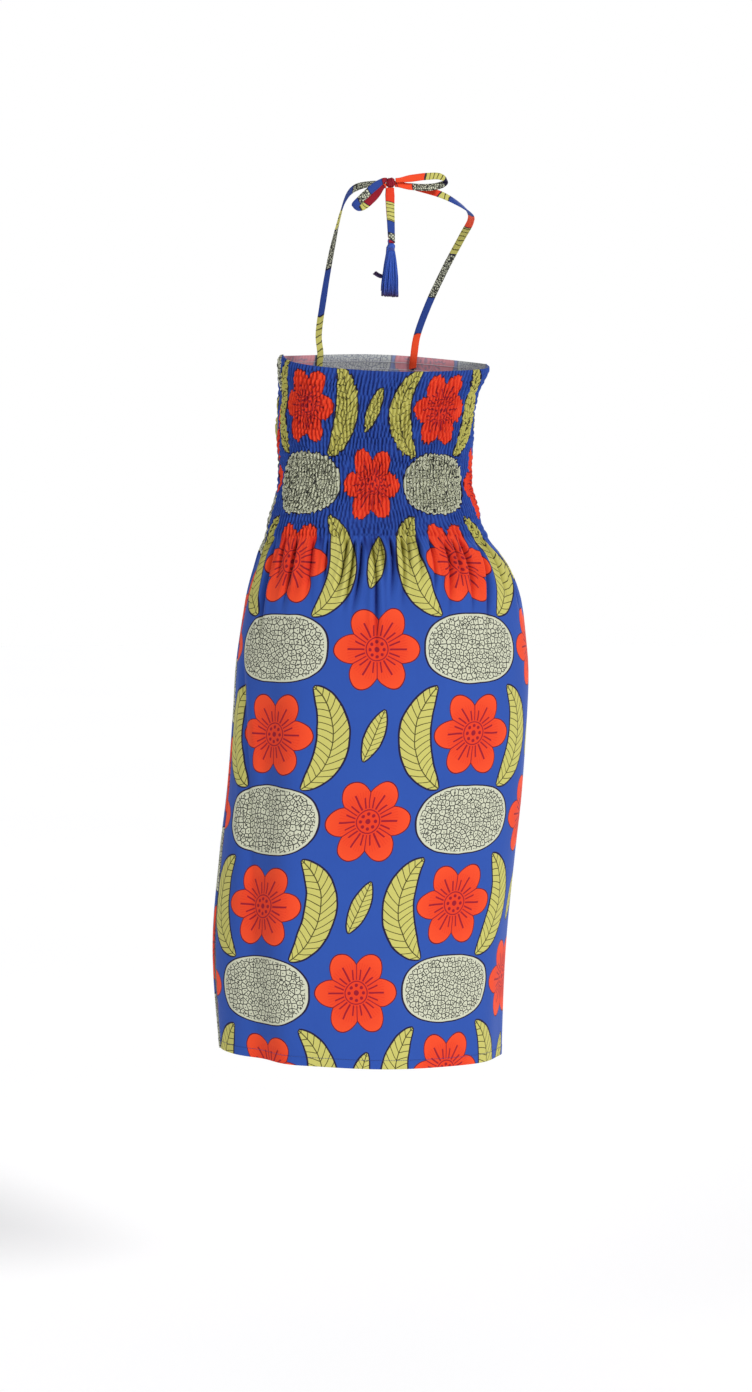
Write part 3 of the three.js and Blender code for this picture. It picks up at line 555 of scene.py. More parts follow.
def tie(node, rows, offset, pinch_start, pinch_end, seed, neck=0.6, wide=(1, 1)):
    """A narrow pressed strip: a flat superellipse carried along its route, drawn in at a knot, with two rows
    of edge stitching and soft creases. neck is how wide it is at a knot, and wide how wide at its ends, as
    shares."""
    band = TIE_BANDS[node]
    rows = np.array(rows, float)
    t = np.linspace(0, 1, 1600)
    line = curve_at(rows[:, :3] + offset, t)
    looks = curve_at(rows[:, 3:], t)
    length = np.concatenate([[0], np.cumsum(np.linalg.norm(np.diff(line, axis=0), axis=1))])
    steps = int(length[-1] / 1.3)
    want = np.linspace(0, length[-1], steps + 1)
    line = np.stack([np.interp(want, length, c) for c in line.T], 1)
    looks = np.stack([np.interp(want, length, c) for c in looks.T], 1)
    along = unit(np.gradient(line, axis=0))
    width = unit(np.cross(along, looks))
    face = unit(np.cross(width, along))
    share = want / length[-1]
    from_end = np.minimum(share if pinch_start else 1, 1 - share if pinch_end else 1)
    drawn = (neck + (1 - neck) * smooth(from_end / 0.16)) * (wide[0] + (wide[1] - wide[0]) * share)
    angle = np.linspace(0, 2 * np.pi, TIE_PLACES, endpoint=False)
    cos, sin = np.cos(angle), np.sin(angle)
    a = np.sign(cos) * np.abs(cos) ** 0.55
    b = np.sign(sin) * np.abs(sin) ** 0.8
    groove = 1 - 0.22 * bell(np.abs(a) - 0.72, 0.05)
    crease = 1 + 0.26 * ripple(want[:, None] / 6, a * 2.5 + np.sign(b) * 3, seed)
    deep = 1 - (1 - from_end.clip(0, 0.12) / 0.12)[:, None] * 0.3 * bell(a - 0.15, 0.16)
    across = a * drawn[:, None] * TIE_WIDTH / 2 * (1 + 0.03 * ripple(want[:, None] / 9, 0, seed + 1))
    thick = b * groove * crease * deep * TIE_THICK / 2 * (0.94 + 0.25 * (1 - drawn[:, None]))
    points = line[:, None] + across[..., None] * width[:, None] + thick[..., None] * face[:, None]
    points = np.concatenate([points.reshape(-1, 3), line[:1], line[-1:]])
    v = band[0] + (band[1] - band[0]) * share
    uv = np.stack(np.broadcast_arrays(a * TIE_WIDTH / 2 * MM, v[:, None]), -1).reshape(-1, 2)
    uv = np.concatenate([uv, [[0, band[0]], [0, band[1]]]])
    # painted shade: darker in the stitching grooves and in the dent near each knot
    hollow = np.append(np.clip(1 - groove * deep, 0, 1) * 2, [0.5, 0.5])
    return finish_mesh(node + "_strip", points, skin(steps + 1, TIE_PLACES), uv, hollow), length[-1], line[-1]


def knot(name):
    """A band drawn round the ties: a barrel lying along X, its ring a superellipse, its radius
    (1 - |s|³)^(1/3) along it, with slanting furrows where the band's cloth folds."""
    s = np.linspace(-1, 1, 61)[1:-1]
    angle = np.linspace(0, 2 * np.pi, 72, endpoint=False)
    s, angle = np.meshgrid(s, angle, indexing="ij")
    radius = (1 - np.abs(s) ** 3) ** (1 / 3)
    for place, depth, breadth, slant in FURROWS:
        radius = radius * (1 - depth * bell(s - place - slant * np.sin(angle + 1 + 3 * place), breadth))
    radius = radius * (1 + 0.04 * ripple(s * 3, np.sin(angle) * 2, 5))
    ring = np.abs(np.cos(angle)) ** 3 + np.abs(np.sin(angle)) ** 3
    around = np.stack([np.cos(angle), np.sin(angle)], -1) / ring[..., None] ** (1 / 3)
    half = KNOT_SIZE / 2
    x = s * half[0] * 1.02
    points = np.stack([x, around[..., 0] * half[1] * radius, around[..., 1] * half[2] * radius], -1) + KNOT_AT
    tips = KNOT_AT + np.array([[-half[0], 0, 0], [half[0], 0, 0]])
    band = KNOT_BAND[0] + (KNOT_BAND[1] - KNOT_BAND[0]) * (0.5 + 0.5 * s)
    uv = np.concatenate([np.stack([s * 0.004, band], -1).reshape(-1, 2), [[0, end] for end in KNOT_BAND]])
    # painted shade, darker the deeper the furrow
    hollow = np.append(np.clip(1 - radius / (1 - np.abs(s) ** 3) ** (1 / 3), 0, 1) * 4, [0, 0])
    points = np.concatenate([points.reshape(-1, 3), tips])
    return finish_mesh(name, points, skin(*s.shape, flipped=True), uv, hollow)


# ---------------------------------------------------------------- tassels
def tassel(name, top, lean, seed, wisp=0):
    """Strands fall from a bound neck and bell out to an ellipse: a strand's distance out grows by
    1 - (1 - down)^1.8, with a small seeded wave on the way. A wisp of them may curl out to one side, by the
    fifth power of its length, and up. The neck is a lathed profile wound with turns of thread."""
    dice = np.random.default_rng(seed)
    turn = dice.uniform(0, 2 * np.pi, STRANDS)
    out = np.sqrt(dice.uniform(0, 1, STRANDS))
    down = np.linspace(0, 1, STRAND_STEPS)
    long = TASSEL_LENGTH - HEAD_HEIGHT + 2 + dice.uniform(-2.2, -1.2, STRANDS)
    flare = 1 - (1 - down) ** 1.8
    radius = out[:, None] * (HEAD_RADIUS * 0.85 + (TASSEL_SPREAD - 0.5 - HEAD_RADIUS * 0.85) * flare)
    pitch, phase = dice.uniform(0.6, 1.6, (STRANDS, 1)), dice.uniform(0, 1, (STRANDS, 1))
    wave = 0.4 * np.sin(2 * np.pi * (down * pitch + phase)) * down
    x = radius * np.cos(turn)[:, None] + wave
    y = (radius * np.sin(turn)[:, None] + wave[::-1]) * (0.78 - 0.25 * down)
    z = 2 - HEAD_HEIGHT - long[:, None] * down
    curl = (np.arange(STRANDS) < wisp)[:, None]
    x = np.where(curl, 3 + out[:, None] + 14 * down**5 + 0.25 * x, x)
    fall = 0.75 * long.mean() * (1 - (1 - down) ** 2) - 7 * down**6
    z = np.where(curl, 2 - HEAD_HEIGHT - fall - 4 * (out[:, None] - 0.5), z)
    y = np.where(curl, 0.35 * y, y)
    paths = np.stack(np.broadcast_arrays(x, y, z), -1)
    along = unit(np.gradient(paths, axis=1))
    first = unit(np.cross(along, [0, 1.0, 0]))
    second = np.cross(first, along)
    thick = 0.62 * (1 - 0.25 * down) * dice.uniform(0.8, 1.15, (STRANDS, 1))
    strands, faces, value = tubes(paths, first, second, thick, 5)
    curled = slice(wisp * STRAND_STEPS * 5)
    value[curled] = 0.9 + 0.1 * value[curled]
    s = np.linspace(0, 1, HEAD_RINGS)
    in_winding = (s > WOUND[0]) & (s < WOUND[1])
    profile = np.interp(s, *zip(*HEAD_PROFILE))
    turns = 7 / (WOUND[1] - WOUND[0])
    profile = profile + 0.06 * np.abs(np.sin(np.pi * (s - WOUND[0]) * turns)) * in_winding
    angle = np.linspace(0, 2 * np.pi, HEAD_PLACES, endpoint=False)
    ribs = 1 + 0.035 * np.abs(np.sin(angle * 14))[None] * ~in_winding[:, None]
    ring = HEAD_RADIUS * profile[:, None] * ribs
    down_head = np.broadcast_to(-s[:, None] * HEAD_HEIGHT, ring.shape)
    head = np.stack([ring * np.cos(angle), ring * np.sin(angle) * 0.78, down_head], -1).reshape(-1, 3)
    points = np.concatenate([strands, head, [[0, 0, 0.4], [0, 0, -HEAD_HEIGHT]]])
    faces = faces + [f + len(strands) for f in skin(HEAD_RINGS, HEAD_PLACES)]
    cos, sin = math.cos(lean), math.sin(lean)
    points = points @ np.array([[cos, 0, -sin], [0, 1, 0], [sin, 0, cos]]) + top
    wound = np.repeat(0.9 * in_winding, HEAD_PLACES)
    return finish_mesh(name, points, faces, None, np.concatenate([value, wound, [0, 0]]))


# ---------------------------------------------------------------- threads
def sewn(name, side, share, z, stand, radius):
    """Threads that run across a panel, that far off the plain form."""
    at = form(side, share, z)
    out = np.stack([at[..., 2], at[..., 3], np.zeros_like(z)], -1)
    up = np.broadcast_to([0, 0, 1.0], out.shape)
    ways = (out, up) if side < 0 else (up, out)
    points, faces, value = tubes(stand_off(at, stand, z), *ways, radius)
    return finish_mesh(name, points, faces, None, value)


def elastic(name, side):
    """The shirring's threads on the inside: each runs at one row's height, against the inner wall."""
    share, row = np.broadcast_arrays(np.linspace(0.004, 0.996, 181), np.arange(1, THREADS + 1)[:, None])
    top = top_edge(side, share)
    stand = -SUNK - CLOTH - 0.25 + 0.15 * ripple(share * 90, row * 3, 3 + side)
    return sewn(name, side, share, top + (LAST_THREAD - top) * row / THREADS, stand, 0.3)


def hem_stitches(name, side):
    """The hem's stitching: short round stitches in a row, 3.4 mm apart, each bowed slightly out."""
    start = (np.arange(STITCHES) + 0.14) / STITCHES
    share = start[:, None] + np.linspace(0, 0.72 / STITCHES, 5)
    z = hem_edge(share) + HEM_STITCH
    bow = 0.05 + 0.12 * np.sin(np.linspace(0, np.pi, 5))
    stand = drape(side, share, z, form(side, share, z)[..., 4])[0] + bow
    return sewn(name, side, share, z, stand, 0.28 * np.array([0.55, 0.95, 1, 0.95, 0.55]))


# ---------------------------------------------------------------- materials
def colour(hexa):
    """An sRGB hex value as linear red, green, blue and alpha."""
    parts = [int(hexa[i:i + 2], 16) / 255 for i in (1, 3, 5)]
    return tuple(c / 12.92 if c <= 0.04045 else ((c + 0.055) / 1.055) ** 2.4 for c in parts) + (1.0,)


def add(tree, kind, *inputs, **settings):
    """Adds a node with its settings. kind may end with an operation's name. Inputs are values, sockets or
    other nodes, in order or in one dict."""
    kind, *operation = kind.split()
    node = tree.nodes.new(kind if kind.startswith("Node") else "ShaderNode" + kind)
    if operation:
        node.operation = operation[0]
    for name, value in settings.items():
        setattr(node, name, value)
    named = inputs and isinstance(inputs[0], dict)
    for key, value in inputs[0].items() if named else enumerate(inputs):
        if isinstance(value, bpy.types.Node):
            value = next(socket for socket in value.outputs if socket.enabled)
        if isinstance(value, bpy.types.NodeSocket):
            tree.links.new(value, node.inputs[key])
        else:
            node.inputs[key].default_value = value
    return node


# The ties' dark blue ink is the voile's ground blue with painted shade, since the ties are the same cloth.
INKS = {name: colour(hexa) for name, hexa in {
    "blue": "#2a50a4", "blue_deep": "#24479a", "navy": "#26408a", "red": "#d8381a", "orange": "#e54821",
    "crimson": "#8f1226", "red_outline": "#5e1020", "yellow": "#bdb863", "olive": "#4b4720",
    "outline": "#1d1838", "sage": "#c3c5ae", "sage_dark": "#33342f",
}.items()}
# soft voile: matt and limp, with a faint bloom at grazing angles
VOILE = {"Sheen Weight": 0.08, "Sheen Roughness": 0.45, "Specular IOR Level": 0.25, "IOR": 1.46}


def blank(name):
    """A new material without nodes, and what adds nodes to it."""
    made = bpy.data.materials.new(name)
    made.use_nodes = True
    made.node_tree.nodes.clear()
    return made, functools.partial(add, made.node_tree)


HALF = (126, 104)  # half of the print's repeat, across and up


def flower_print():
    """The print, in millimetres of flat cloth, repeated every 252 by 208 mm with a half drop. Six-petalled
    flowers stand on a blue ground, every other one between two curved leaves, with speckled ovals and small
    buds between them. Screen-printed: hard edges, dark outlines and flat colours."""
    tree = bpy.data.node_groups.new("flower_print", "ShaderNodeTree")
    tree.interface.new_socket("Place", in_out="INPUT", socket_type="NodeSocketVector")
    tree.interface.new_socket("Color", in_out="OUTPUT", socket_type="NodeSocketColor")
    put = functools.partial(add, tree)
    start = put("NodeGroupInput")

    # the screen's slight unevenness, 1.2 mm over some 50 mm
    stray = put("TexNoise", {"Vector": start.outputs[0], "Scale": 0.02, "Detail": 2.0})
    stray = put("VectorMath SUBTRACT", stray.outputs["Color"], (0.5, 0.5, 0.5))
    stray = put("VectorMath SCALE", {0: stray, "Scale": 6.0})
    place = put("VectorMath ADD", start.outputs[0], stray)

    def tile(x, y):
        """The place within the repeat, about a motif's middle."""
        moved = put("VectorMath SUBTRACT", place, (x, y, 0))
        return put("VectorMath WRAP", moved, (*HALF, 1), (-HALF[0], -HALF[1], -1))

    def leaf(t, run, rib, roundness, half, outline, lean, pitch, vein, stem):
        """Masks of a leaf, its outline and its veins. t runs from -1 to 1 along it, run is the same in
        millimetres, rib the distance from its midrib and half its half width. pitch is its veins'."""
        taper = put("Math SUBTRACT", 1.0, put("Math MULTIPLY", t, t))
        taper = put("Math POWER", put("Math MAXIMUM", taper, 0.0), roundness)
        breadth = put("Math MULTIPLY", taper, half)
        rim = put("Math MULTIPLY", put("Math COMPARE", rib, breadth, outline),
                  put("Math GREATER_THAN", breadth, 0.5))
        veins = put("Math ADD", put("Math MULTIPLY", rib, lean), run)
        veins = put("Math FRACT", put("Math DIVIDE", veins, pitch))
        veins = put("Math MAXIMUM", put("Math LESS_THAN", veins, vein), put("Math LESS_THAN", rib, stem))
        return put("Math LESS_THAN", rib, breadth), rim, veins

    one, two = tile(0, 0), tile(*HALF)
    far_one, far_two = (put("VectorMath LENGTH", t) for t in (one, two))
    nearer = put("Math LESS_THAN", far_two, far_one)
    flower = put("Mix", {0: nearer, 4: one, 5: two}, data_type="VECTOR")
    radius = put("VectorMath LENGTH", flower)
    axes = put("SeparateXYZ", flower)
    angle = put("Math ARCTAN2", axes.outputs[1], axes.outputs[0])
    petal = put("Math WRAP", angle, math.pi / 6, -math.pi / 6)
    out = put("Math MULTIPLY", radius, put("Math COSINE", petal))
    aside = put("Math MULTIPLY", radius, put("Math SINE", petal))
    side = put("Math ABSOLUTE", aside)

    # petals: ellipses 30 mm out, 46 by 34 mm
    moved = put("Math SUBTRACT", out, 30.0)
    u = put("Math DIVIDE", moved, 23.0)
    v = put("Math DIVIDE", aside, 17.5)
    both = put("CombineXYZ", u, v, 0.0)
    ellipse = put("VectorMath DOT_PRODUCT", both, both)
    in_petal = put("Math LESS_THAN", ellipse, 1.0)
    in_disc = put("Math LESS_THAN", radius, 16.0)
    in_flower = put("Math MAXIMUM", in_petal, in_disc)
    rim = put("Math COMPARE", ellipse, 1.0, 0.065)
    rim = put("Math MULTIPLY", rim, put("Math GREATER_THAN", radius, 30.0))
    edge = put("Math COMPARE", put("Math SUBTRACT", side, put("Math MULTIPLY", out, 0.5774)), 0.0, 0.75)
    edge = put("Math MULTIPLY", edge, put("Math COMPARE", radius, 24.0, 10.5))
    rays = put("Math SINE", put("Math MULTIPLY", petal, 66.0))
    rays = put("Math GREATER_THAN", rays, 0.72)
    rays = put("Math MULTIPLY", rays, put("Math COMPARE", radius, 27.0, 10.0))
    stroke = put("Math MULTIPLY", put("Math LESS_THAN", side, 1.1), put("Math COMPARE", out, 25.0, 11.0))
    slant = put("Math SUBTRACT", put("Math MULTIPLY_ADD", out, 0.42, -2.2), side)
    slant = put("Math MULTIPLY", put("Math COMPARE", slant, 0.0, 1.0), put("Math COMPARE", out, 21.0, 6.5))
    stroke = put("Math MAXIMUM", stroke, slant)

    # the middle: a disc with a ring of eight dots
    spoke = put("Math WRAP", angle, math.pi / 8, -math.pi / 8)
    off = put("Math MULTIPLY", spoke, 9.0)
    dots = put("VectorMath DISTANCE", put("CombineXYZ", radius, off, 0.0), (9.0, 0.0, 0.0))
    dots = put("Math LESS_THAN", dots, 2.1)
    disc_rim = put("Math COMPARE", radius, 14.0, 0.7)
    pip = put("Math LESS_THAN", radius, 3.2)

    # leaves: arcs 77 mm from every other flower's middle, 144 mm long and 40 mm wide
    parts = put("SeparateXYZ", two)
    bend = put("Math ARCTAN2", put("Math ADD", parts.outputs[1], 9.0),
               put("Math ABSOLUTE", parts.outputs[0]))
    run = put("Math MULTIPLY", bend, 77.0)
    rib = put("Math ABSOLUTE", put("Math SUBTRACT", far_two, 77.0))
    large = leaf(put("Math MULTIPLY", bend, 1.07), run, rib, 0.7, 20.0, 1.2, -0.75, 9.5, 0.13, 0.7)

    # buds: straight leaves, 68 by 24 mm
    bud = put("VectorRotate", {"Vector": tile(0, HALF[1]), "Angle": 0.35}, rotation_type="Z_AXIS")
    parts = put("SeparateXYZ", bud)
    run = parts.outputs[1]
    rib = put("Math ABSOLUTE", parts.outputs[0])
    small = leaf(put("Math DIVIDE", run, 34.0), run, rib, 0.8, 12.0, 1.1, -0.8, 7.0, 0.14, 0.6)
    in_leaf, leaf_rim = (put("Math MAXIMUM", *pair) for pair in list(zip(large, small))[:2])
    veins = put("Mix", {0: small[0], 6: large[2].outputs[0], 7: small[2].outputs[0]}, data_type="RGBA")
    veins = put("Math MULTIPLY", veins.outputs[2], in_leaf)

    # ovals: superellipses 132 by 84 mm, filled with pebbles 6 mm across
    oval = put("VectorMath ABSOLUTE", tile(HALF[0], 0))
    oval = put("VectorMath DIVIDE", oval, (66, 42, 1))
    parts = put("SeparateXYZ", oval)
    oval = put("Math ADD", put("Math POWER", parts.outputs[0], 2.4),
               put("Math POWER", parts.outputs[1], 2.4))
    in_oval = put("Math LESS_THAN", oval, 1.0)
    oval_rim = put("Math COMPARE", oval, 1.0, 0.045)
    field = put("Math LESS_THAN", oval, 0.84)
    cells = {"Vector": place, "Scale": 0.17, "Randomness": 0.9}
    pebbles = put("TexVoronoi", cells, feature="DISTANCE_TO_EDGE", voronoi_dimensions="2D")
    pebbles = put("Math LESS_THAN", pebbles, 0.095)
    grains = put("TexVoronoi", cells, voronoi_dimensions="2D")
    grains = put("Math LESS_THAN", grains.outputs["Distance"], 0.13)
    pebbles = put("Math MULTIPLY", put("Math MAXIMUM", pebbles, grains), field)

    # inks, laid on in turn
    cloud = put("TexNoise", {"Vector": place, "Scale": 0.012, "Detail": 3.0})
    ink = put("Mix", {0: cloud.outputs[0], 6: INKS["blue"], 7: INKS["blue_deep"]}, data_type="RGBA")
    petal_tone = put("MapRange", radius, 14.0, 52.0)
    petal_ink = put("Mix", {0: petal_tone, 6: INKS["red"], 7: INKS["orange"]}, data_type="RGBA")
    for mask, tone in (
        (in_oval, "sage"), (pebbles, "sage_dark"), (oval_rim, "outline"), (in_leaf, "yellow"),
        (veins, "olive"), (leaf_rim, "outline"), (in_flower, petal_ink), (rays, "red"), (edge, "crimson"),
        (stroke, "crimson"), (in_disc, "red"), (disc_rim, "crimson"), (dots, "crimson"), (pip, "crimson"),
        (rim, "red_outline"),
    ):
        tone = INKS.get(tone, tone)
        ink = put("Mix", {0: mask, 6: ink, 7: tone}, data_type="RGBA")
    put("NodeGroupOutput", ink)
    return tree


def painted_shade(put, ink, strength):
    """Painted shade: the ink in a hollow, which the hollow attribute tells from 0 up, painted darker: times
    itself, as if the light there had met the cloth twice, and a little dimmer."""
    hollow = put("Attribute", attribute_name="hollow")
    amount = put("Math MULTIPLY", hollow.outputs["Fac"], strength, use_clamp=True)
    twice = put("Mix", {0: amount, 6: ink, 7: ink}, data_type="RGBA", blend_type="MULTIPLY")
    less = put("Math MULTIPLY", amount, 0.14)
    return put("Mix", {0: less, 6: twice.outputs[2], 7: (0.0, 0.0, 0.02, 1.0)}, data_type="RGBA")


def voile(name, group, offset, fade, depth):
    """Viscose voile, plain woven and screen-printed. Its threads lie 0.35 mm apart, drawn 1.1 mm apart so
    that they show. fade mixes in the pale reverse, and depth is the strength of the painted shade in its
    hollows."""
    made, put = blank(name)
    flat = put("UVMap", uv_map="flat_cloth")
    place = put("Mapping", {"Vector": flat, "Location": offset, "Scale": (1000, 1000, 1000)})
    ink = put("Group", place, node_tree=group).outputs[0]
    if fade:
        ink = put("Mix", {0: fade, 6: ink, 7: colour("#b9bfd0")}, data_type="RGBA")
    # painted shade in the cloth's hollows, as strong as depth says
    ink = painted_shade(put, ink, depth)
    weft, warp = (put("TexWave", {"Vector": place, "Scale": 0.045, "Distortion": 0.6, "Detail": 1.0},
                      bands_direction=way) for way in "YX")
    weave = put("Math MULTIPLY", weft.outputs["Fac"], warp.outputs["Fac"])
    crumple = put("TexNoise", {"Vector": place, "Scale": 0.05, "Detail": 4.0, "Roughness": 0.6})
    bump = put("Bump", {"Strength": 0.25, "Distance": 0.0012, "Height": crumple.outputs[0]})
    bump = put("Bump", {"Strength": 0.1, "Distance": 0.0004, "Height": weave, "Normal": bump})
    shader = put("BsdfPrincipled", {"Base Color": ink, "Roughness": 0.82, "Normal": bump, **VOILE})
    put("OutputMaterial", shader)
    return made


# Colours along the tie pieces, one strip from 0 to 1: each piece takes its own stretch.
TIE_BANDS = {
    "tie_left": (0.0, 0.22), "tie_right": (0.22, 0.52), "loop_left": (0.52, 0.64), "loop_right": (0.64, 0.8),
    "tie_end_outer": (0.8, 0.89), "tie_end_inner": (0.89, 0.97),
}
KNOT_BAND = (0.973, 0.999)
# its dark blue stretches are the ground blue with painted shade
TIE_STRIP = [
    (0.0, "yellow"), (0.05, "navy"), (0.09, "sage"), (0.13, "yellow"), (0.155, "navy"), (0.185, "sage"),
    (0.22, "orange"), (0.26, "navy"), (0.3, "sage"), (0.35, "yellow"), (0.39, "orange"), (0.42, "navy"),
    (0.462, "yellow"), (0.475, "red"),
    (0.52, "crimson"), (0.531, "navy"), (0.553, "sage"), (0.572, "navy"), (0.59, "yellow"),
    (0.603, "crimson"),
    (0.64, "orange"), (0.685, "yellow"), (0.715, "outline"), (0.73, "sage"), (0.775, "orange"),
    (0.8, "red"), (0.828, "yellow"), (0.856, "navy"), (0.876, "sage"),
    (0.89, "crimson"), (0.94, "navy"), (0.972, "crimson"),
]


def tie_cloth():
    """The same voile cut in narrow strips, folded and edge-stitched. The strip cuts through the motifs, so
    the colours change along it, with an outline between them and speckles on the sage."""
    made, put = blank("printed_voile_strip")
    flat = put("UVMap", uv_map="flat_cloth")
    axes = put("SeparateXYZ", flat)
    where = put("TexCoord").outputs["Object"]
    stray = put("TexNoise", {"Vector": where, "Scale": 90.0, "Detail": 1.0})
    slope = put("Math MULTIPLY_ADD", axes.outputs[0], 0.35, axes.outputs[1])
    along = put("Math MULTIPLY_ADD", stray.outputs[0], 0.006, slope)
    ramp, ahead = (put("ValToRGB", put("Math ADD", along, step)) for step in (0.0, 0.0012))
    for each in (ramp, ahead):
        stops = each.color_ramp
        stops.interpolation = "CONSTANT"
        for at, ink in TIE_STRIP[2:]:
            stops.elements.new(at)
        for stop, (at, ink) in zip(stops.elements, TIE_STRIP):
            stop.position, stop.color = at, INKS[ink]
    change = put("VectorMath DISTANCE", ramp.outputs[0], ahead.outputs[0])
    change = put("Math GREATER_THAN", change.outputs[1], 0.01)
    tone = put("SeparateColor", ramp.outputs[0], mode="HSV")
    pale = put("Math MULTIPLY", put("Math LESS_THAN", tone.outputs[1], 0.35),
               put("Math GREATER_THAN", tone.outputs[2], 0.3))
    pebbles = put("TexVoronoi", {"Vector": where, "Scale": 420.0}, feature="DISTANCE_TO_EDGE")
    pebbles = put("Math MULTIPLY", put("Math LESS_THAN", pebbles, 0.16), pale)
    gold = put("Math MULTIPLY", put("Math COMPARE", tone.outputs[0], 0.155, 0.03),
               put("Math GREATER_THAN", tone.outputs[1], 0.5))
    lines = put("Math FRACT", put("Math MULTIPLY", along, 160.0))
    lines = put("Math MULTIPLY", put("Math LESS_THAN", lines, 0.2), gold)
    ink = ramp.outputs[0]
    for mask, tone in ((pebbles, "sage_dark"), (lines, "olive"), (change, "outline")):
        ink = put("Mix", {0: mask, 6: ink, 7: INKS[tone]}, data_type="RGBA")
    # painted shade in the stitching grooves, the dents near the knot and the knot's furrows
    ink = painted_shade(put, ink, 0.5)
    crumple = put("TexNoise", {"Vector": where, "Scale": 260.0, "Detail": 3.0})
    bump = put("Bump", {"Strength": 0.5, "Distance": 0.0012, "Height": crumple.outputs[0]})
    shader = put("BsdfPrincipled", {"Base Color": ink, "Roughness": 0.8, "Normal": bump, **VOILE})
    put("OutputMaterial", shader)
    return made


def thread(name, base, tip, roughness, sheen, scale):
    """Twisted yarn: fine slanting plies, and a colour that runs from base to tip along each strand."""
    made, put = blank(name)
    where = put("TexCoord").outputs["Object"]
    along = put("Attribute", attribute_name="hollow")
    late = put("Math POWER", along.outputs["Fac"], 9.0)
    waves = {"Vector": where, "Scale": scale, "Distortion": 2.0, "Detail": 1.0}
    plies = put("TexWave", waves, bands_direction="DIAGONAL")
    uneven = put("TexNoise", {"Vector": where, "Scale": scale / 4, "Detail": 2.0})
    ink = put("Mix", {0: late, 6: colour(base), 7: colour(tip)}, data_type="RGBA")
    dim = put("Mix", {0: uneven.outputs[0], 6: colour("#b4b4b4"), 7: colour("#ffffff")}, data_type="RGBA")
    ink = put("Mix", {0: 0.7, 6: ink, 7: dim}, data_type="RGBA", blend_type="MULTIPLY")
    bump = put("Bump", {"Strength": 0.4, "Distance": 0.0003, "Height": plies.outputs["Fac"]})
    shader = put("BsdfPrincipled", {
        "Base Color": ink, "Roughness": roughness, "Sheen Weight": sheen, "Sheen Roughness": 0.4,
        "Specular IOR Level": 0.5, "IOR": 1.5, "Normal": bump,
    })
    put("OutputMaterial", shader)
    return made


PRINT = flower_print()
BACK_PLACE, FRONT_PLACE = (30, 40, 0), (150, 95, 0)  # where each panel's cut lies on the print
# the last number is how strong each material's painted shade in hollows is
PRINT_BACK = voile("printed_voile_back", PRINT, BACK_PLACE, 0.0, 0.62)
PRINT_FRONT = voile("printed_voile_front", PRINT, FRONT_PLACE, 0.0, 0.62)
REVERSE_BACK = voile("voile_reverse_back", PRINT, BACK_PLACE, 0.5, 0.3)
REVERSE_FRONT = voile("voile_reverse_front", PRINT, FRONT_PLACE, 0.5, 0.3)
STRIP = tie_cloth()
# viscose embroidery yarn, combed straight: silky, and darker where the tips crowd
TASSEL_YARN = thread("viscose_yarn", "#1c4fb8", "#3a164e", 0.45, 0.05, 900.0)
# cotton-covered elastic and polyester sewing thread, both dull
ELASTIC_YARN = thread("covered_elastic", "#d9dbe2", "#cfd2da", 0.7, 0.1, 1500.0)
SEWING_YARN = thread("sewing_thread", "#26428f", "#26428f", 0.6, 0.1, 1500.0)


# ---------------------------------------------------------------- the pieces
def own(piece, node, slot, *materials):
    """Rides the piece on the dress, lets it stand for its solid and gives it its materials."""
    for material in materials:
        piece.data.materials.append(material)
    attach(piece, "root")
    if node:
        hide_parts(node)
    return piece


def add_tie(node, held, *shape):
    """A tie's piece in place of its solid, and where it ends. held is not used; what follows it goes on to
    tie.
    """
    piece, length, foot = tie(node, *shape)
    own(piece, node, "tie_cloth", STRIP)
    return foot


back = own(panel("back_cloth", 1), "back_panel", "printed_cloth", PRINT_BACK, REVERSE_BACK)
front = own(panel("front_cloth", -1), "front_panel", "printed_cloth", PRINT_FRONT, REVERSE_FRONT)
for side, label in ((1, "back"), (-1, "front")):
    rows = own(elastic(label + "_elastic", side), None, "printed_cloth", ELASTIC_YARN)
    stitches = own(hem_stitches(label + "_hem_stitches", side), None, "printed_cloth", SEWING_YARN)

for number, (label, way) in enumerate((("left", 1), ("right", -1))):
    rows = sewn_rows(way * SEWN_AT) + TIE_ROUTES[label]
    add_tie("tie_" + label, "hung", rows, 0, False, True, 60 + number)
    face = KNOT_AT + np.array([way * (KNOT_SIZE[0] / 2 + TIE_GAP), 0, 0])
    add_tie("loop_" + label, "folded", LOOP_ROUTES[label], face, True, True, 70 + number)
own(knot("knot_wrap"), "knot", "tie_cloth", STRIP)
under = KNOT_AT - np.array([0, 0, KNOT_SIZE[2] / 2 + TIE_GAP])
for number, (label, lean) in enumerate((("outer", -0.04), ("inner", -0.05))):
    foot = add_tie("tie_end_" + label, "hung", END_ROUTES[label], under, True, False, 80 + number, 0.85,
                   (1.25, 0.85))
    foot = foot - np.array([0, 0, 2 * TIE_GAP])
    strands = tassel("tassel_" + label + "_yarn", foot, lean, 90 + number, 34 * number)
    own(strands, "tassel_" + label, "tassel_thread", TASSEL_YARN)


# ---------------------------------------------------------------- studio
FLOOR = -1250.0  # the floor's height
CAMERA_AT, CAMERA_UP, CAMERA_FAR = 168, 0.154, 3.0  # its angle round the dress, its rise and its distance
VIEW_TANGENT = 0.863 / CAMERA_FAR  # half of what it sees from top to bottom


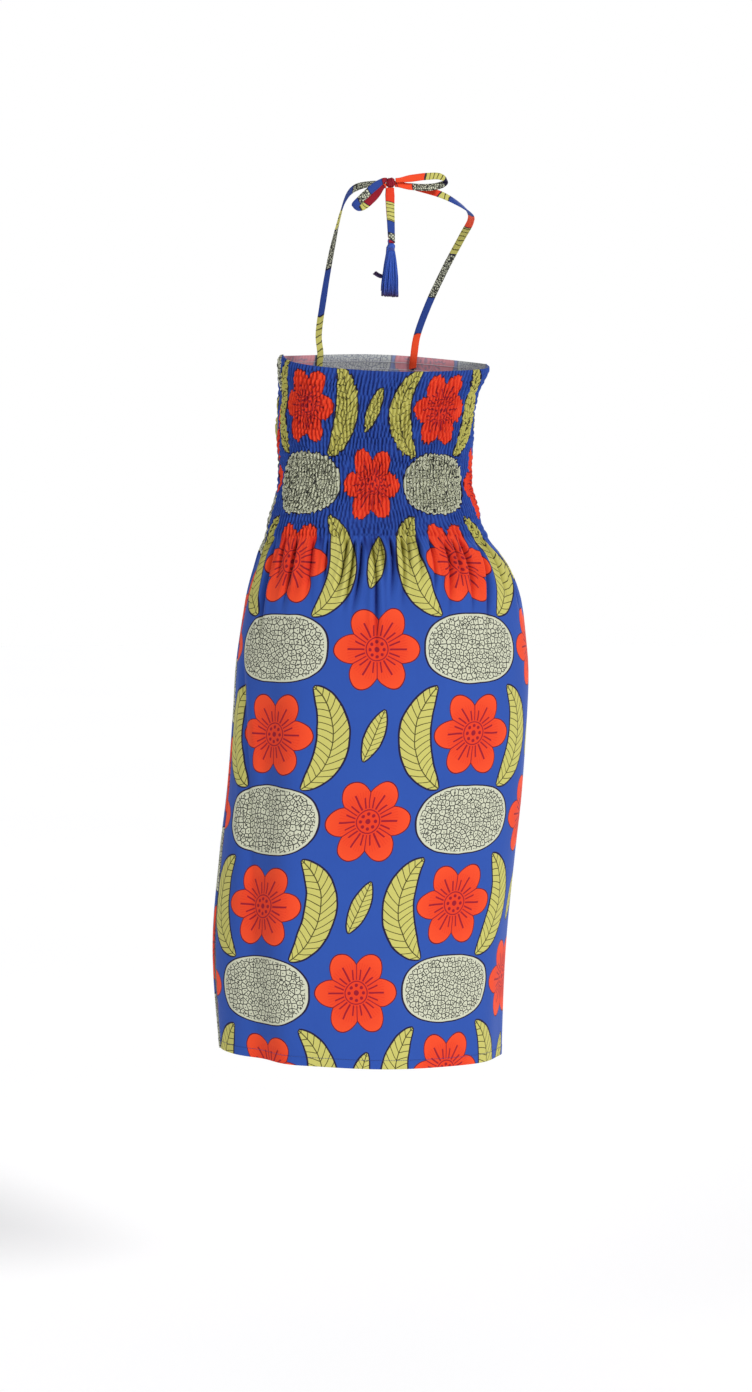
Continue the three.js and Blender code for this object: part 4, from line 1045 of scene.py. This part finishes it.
def floor():
    """A round floor, 60 m across: matt paper, nearly white, with a faint glow of its own."""
    angle = np.linspace(0, 2 * np.pi, 96, endpoint=False)
    rings = np.array([0.5, 2, 8, 30.0]) * 1000
    x, y = np.outer(rings, np.cos(angle)), np.outer(rings, np.sin(angle))
    points = np.concatenate([np.stack([x, y, np.full_like(x, FLOOR)], -1).reshape(-1, 3), [[0, 0, FLOOR]]])
    made = finish_mesh("floor", points, skin(4, 96)[:2])
    paper, put = blank("matt_paper")
    grain = put("TexNoise", {"Scale": 40.0, "Detail": 2.0})
    tone = put("Mix", {0: grain.outputs[0], 6: colour("#fafafa"), 7: colour("#fdfdfd")}, data_type="RGBA")
    shader = put("BsdfPrincipled", {
        "Base Color": tone, "Roughness": 0.9, "Specular IOR Level": 0.1, "Emission Color": (1, 1, 1, 1),
        "Emission Strength": 0.1,
    })
    put("OutputMaterial", shader)
    made.data.materials.append(paper)
    return made


floor()

# a white room: bright where it is seen, and dimmer as a light, so that the lamps can shape the folds
world = bpy.data.worlds.new("white_room")
bpy.context.scene.world = world
world.use_nodes = True
room = world.node_tree
room.nodes.clear()
seen = add(room, "LightPath").outputs["Is Camera Ray"]
glow = add(room, "Mix", {0: seen, 6: (0.3, 0.3, 0.31, 1), 7: (1, 1, 1, 1)}, data_type="RGBA")
add(room, "OutputWorld", add(room, "Background", glow, 1.0))


def direction(azimuth, level_part, rise):
    """That far out at that angle round the dress, in degrees from its front, and that far up."""
    turn = math.radians(azimuth)
    return Vector((math.sin(turn) * level_part, -math.cos(turn) * level_part, rise))


def aim(made, way):
    """Puts the object in the scene and turns it to look that way."""
    made.rotation_mode = "QUATERNION"
    made.rotation_quaternion = way.to_track_quat("-Z", "Y")
    bpy.context.scene.collection.objects.link(made)


def lamp(name, azimuth, elevation, power, breadth):
    """A far lamp at that angle round the dress, whose light comes from a disc that many degrees wide."""
    light = bpy.data.lights.new(name, "SUN")
    light.energy, light.angle = power, math.radians(breadth)
    rise = math.radians(elevation)
    aim(bpy.data.objects.new(name, light), -direction(azimuth, math.cos(rise), math.sin(rise)))


lamp("key", 212, 24, 2.15, 12)
lamp("fill", 118, 20, 0.75, 40)
lamp("front_key", 322, 35, 1.5, 20)

scene = bpy.context.scene
scene.view_settings.view_transform = "Standard"
lens = bpy.data.cameras.new("camera")
lens.sensor_width, lens.lens = 36.0, 18.0 / VIEW_TANGENT
camera = bpy.data.objects.new("camera", lens)
target = Vector((0.0076, 0, -0.404))
camera.location = target + direction(CAMERA_AT, math.sqrt(CAMERA_FAR**2 - CAMERA_UP**2), CAMERA_UP)
aim(camera, target - camera.location)
scene.camera = camera
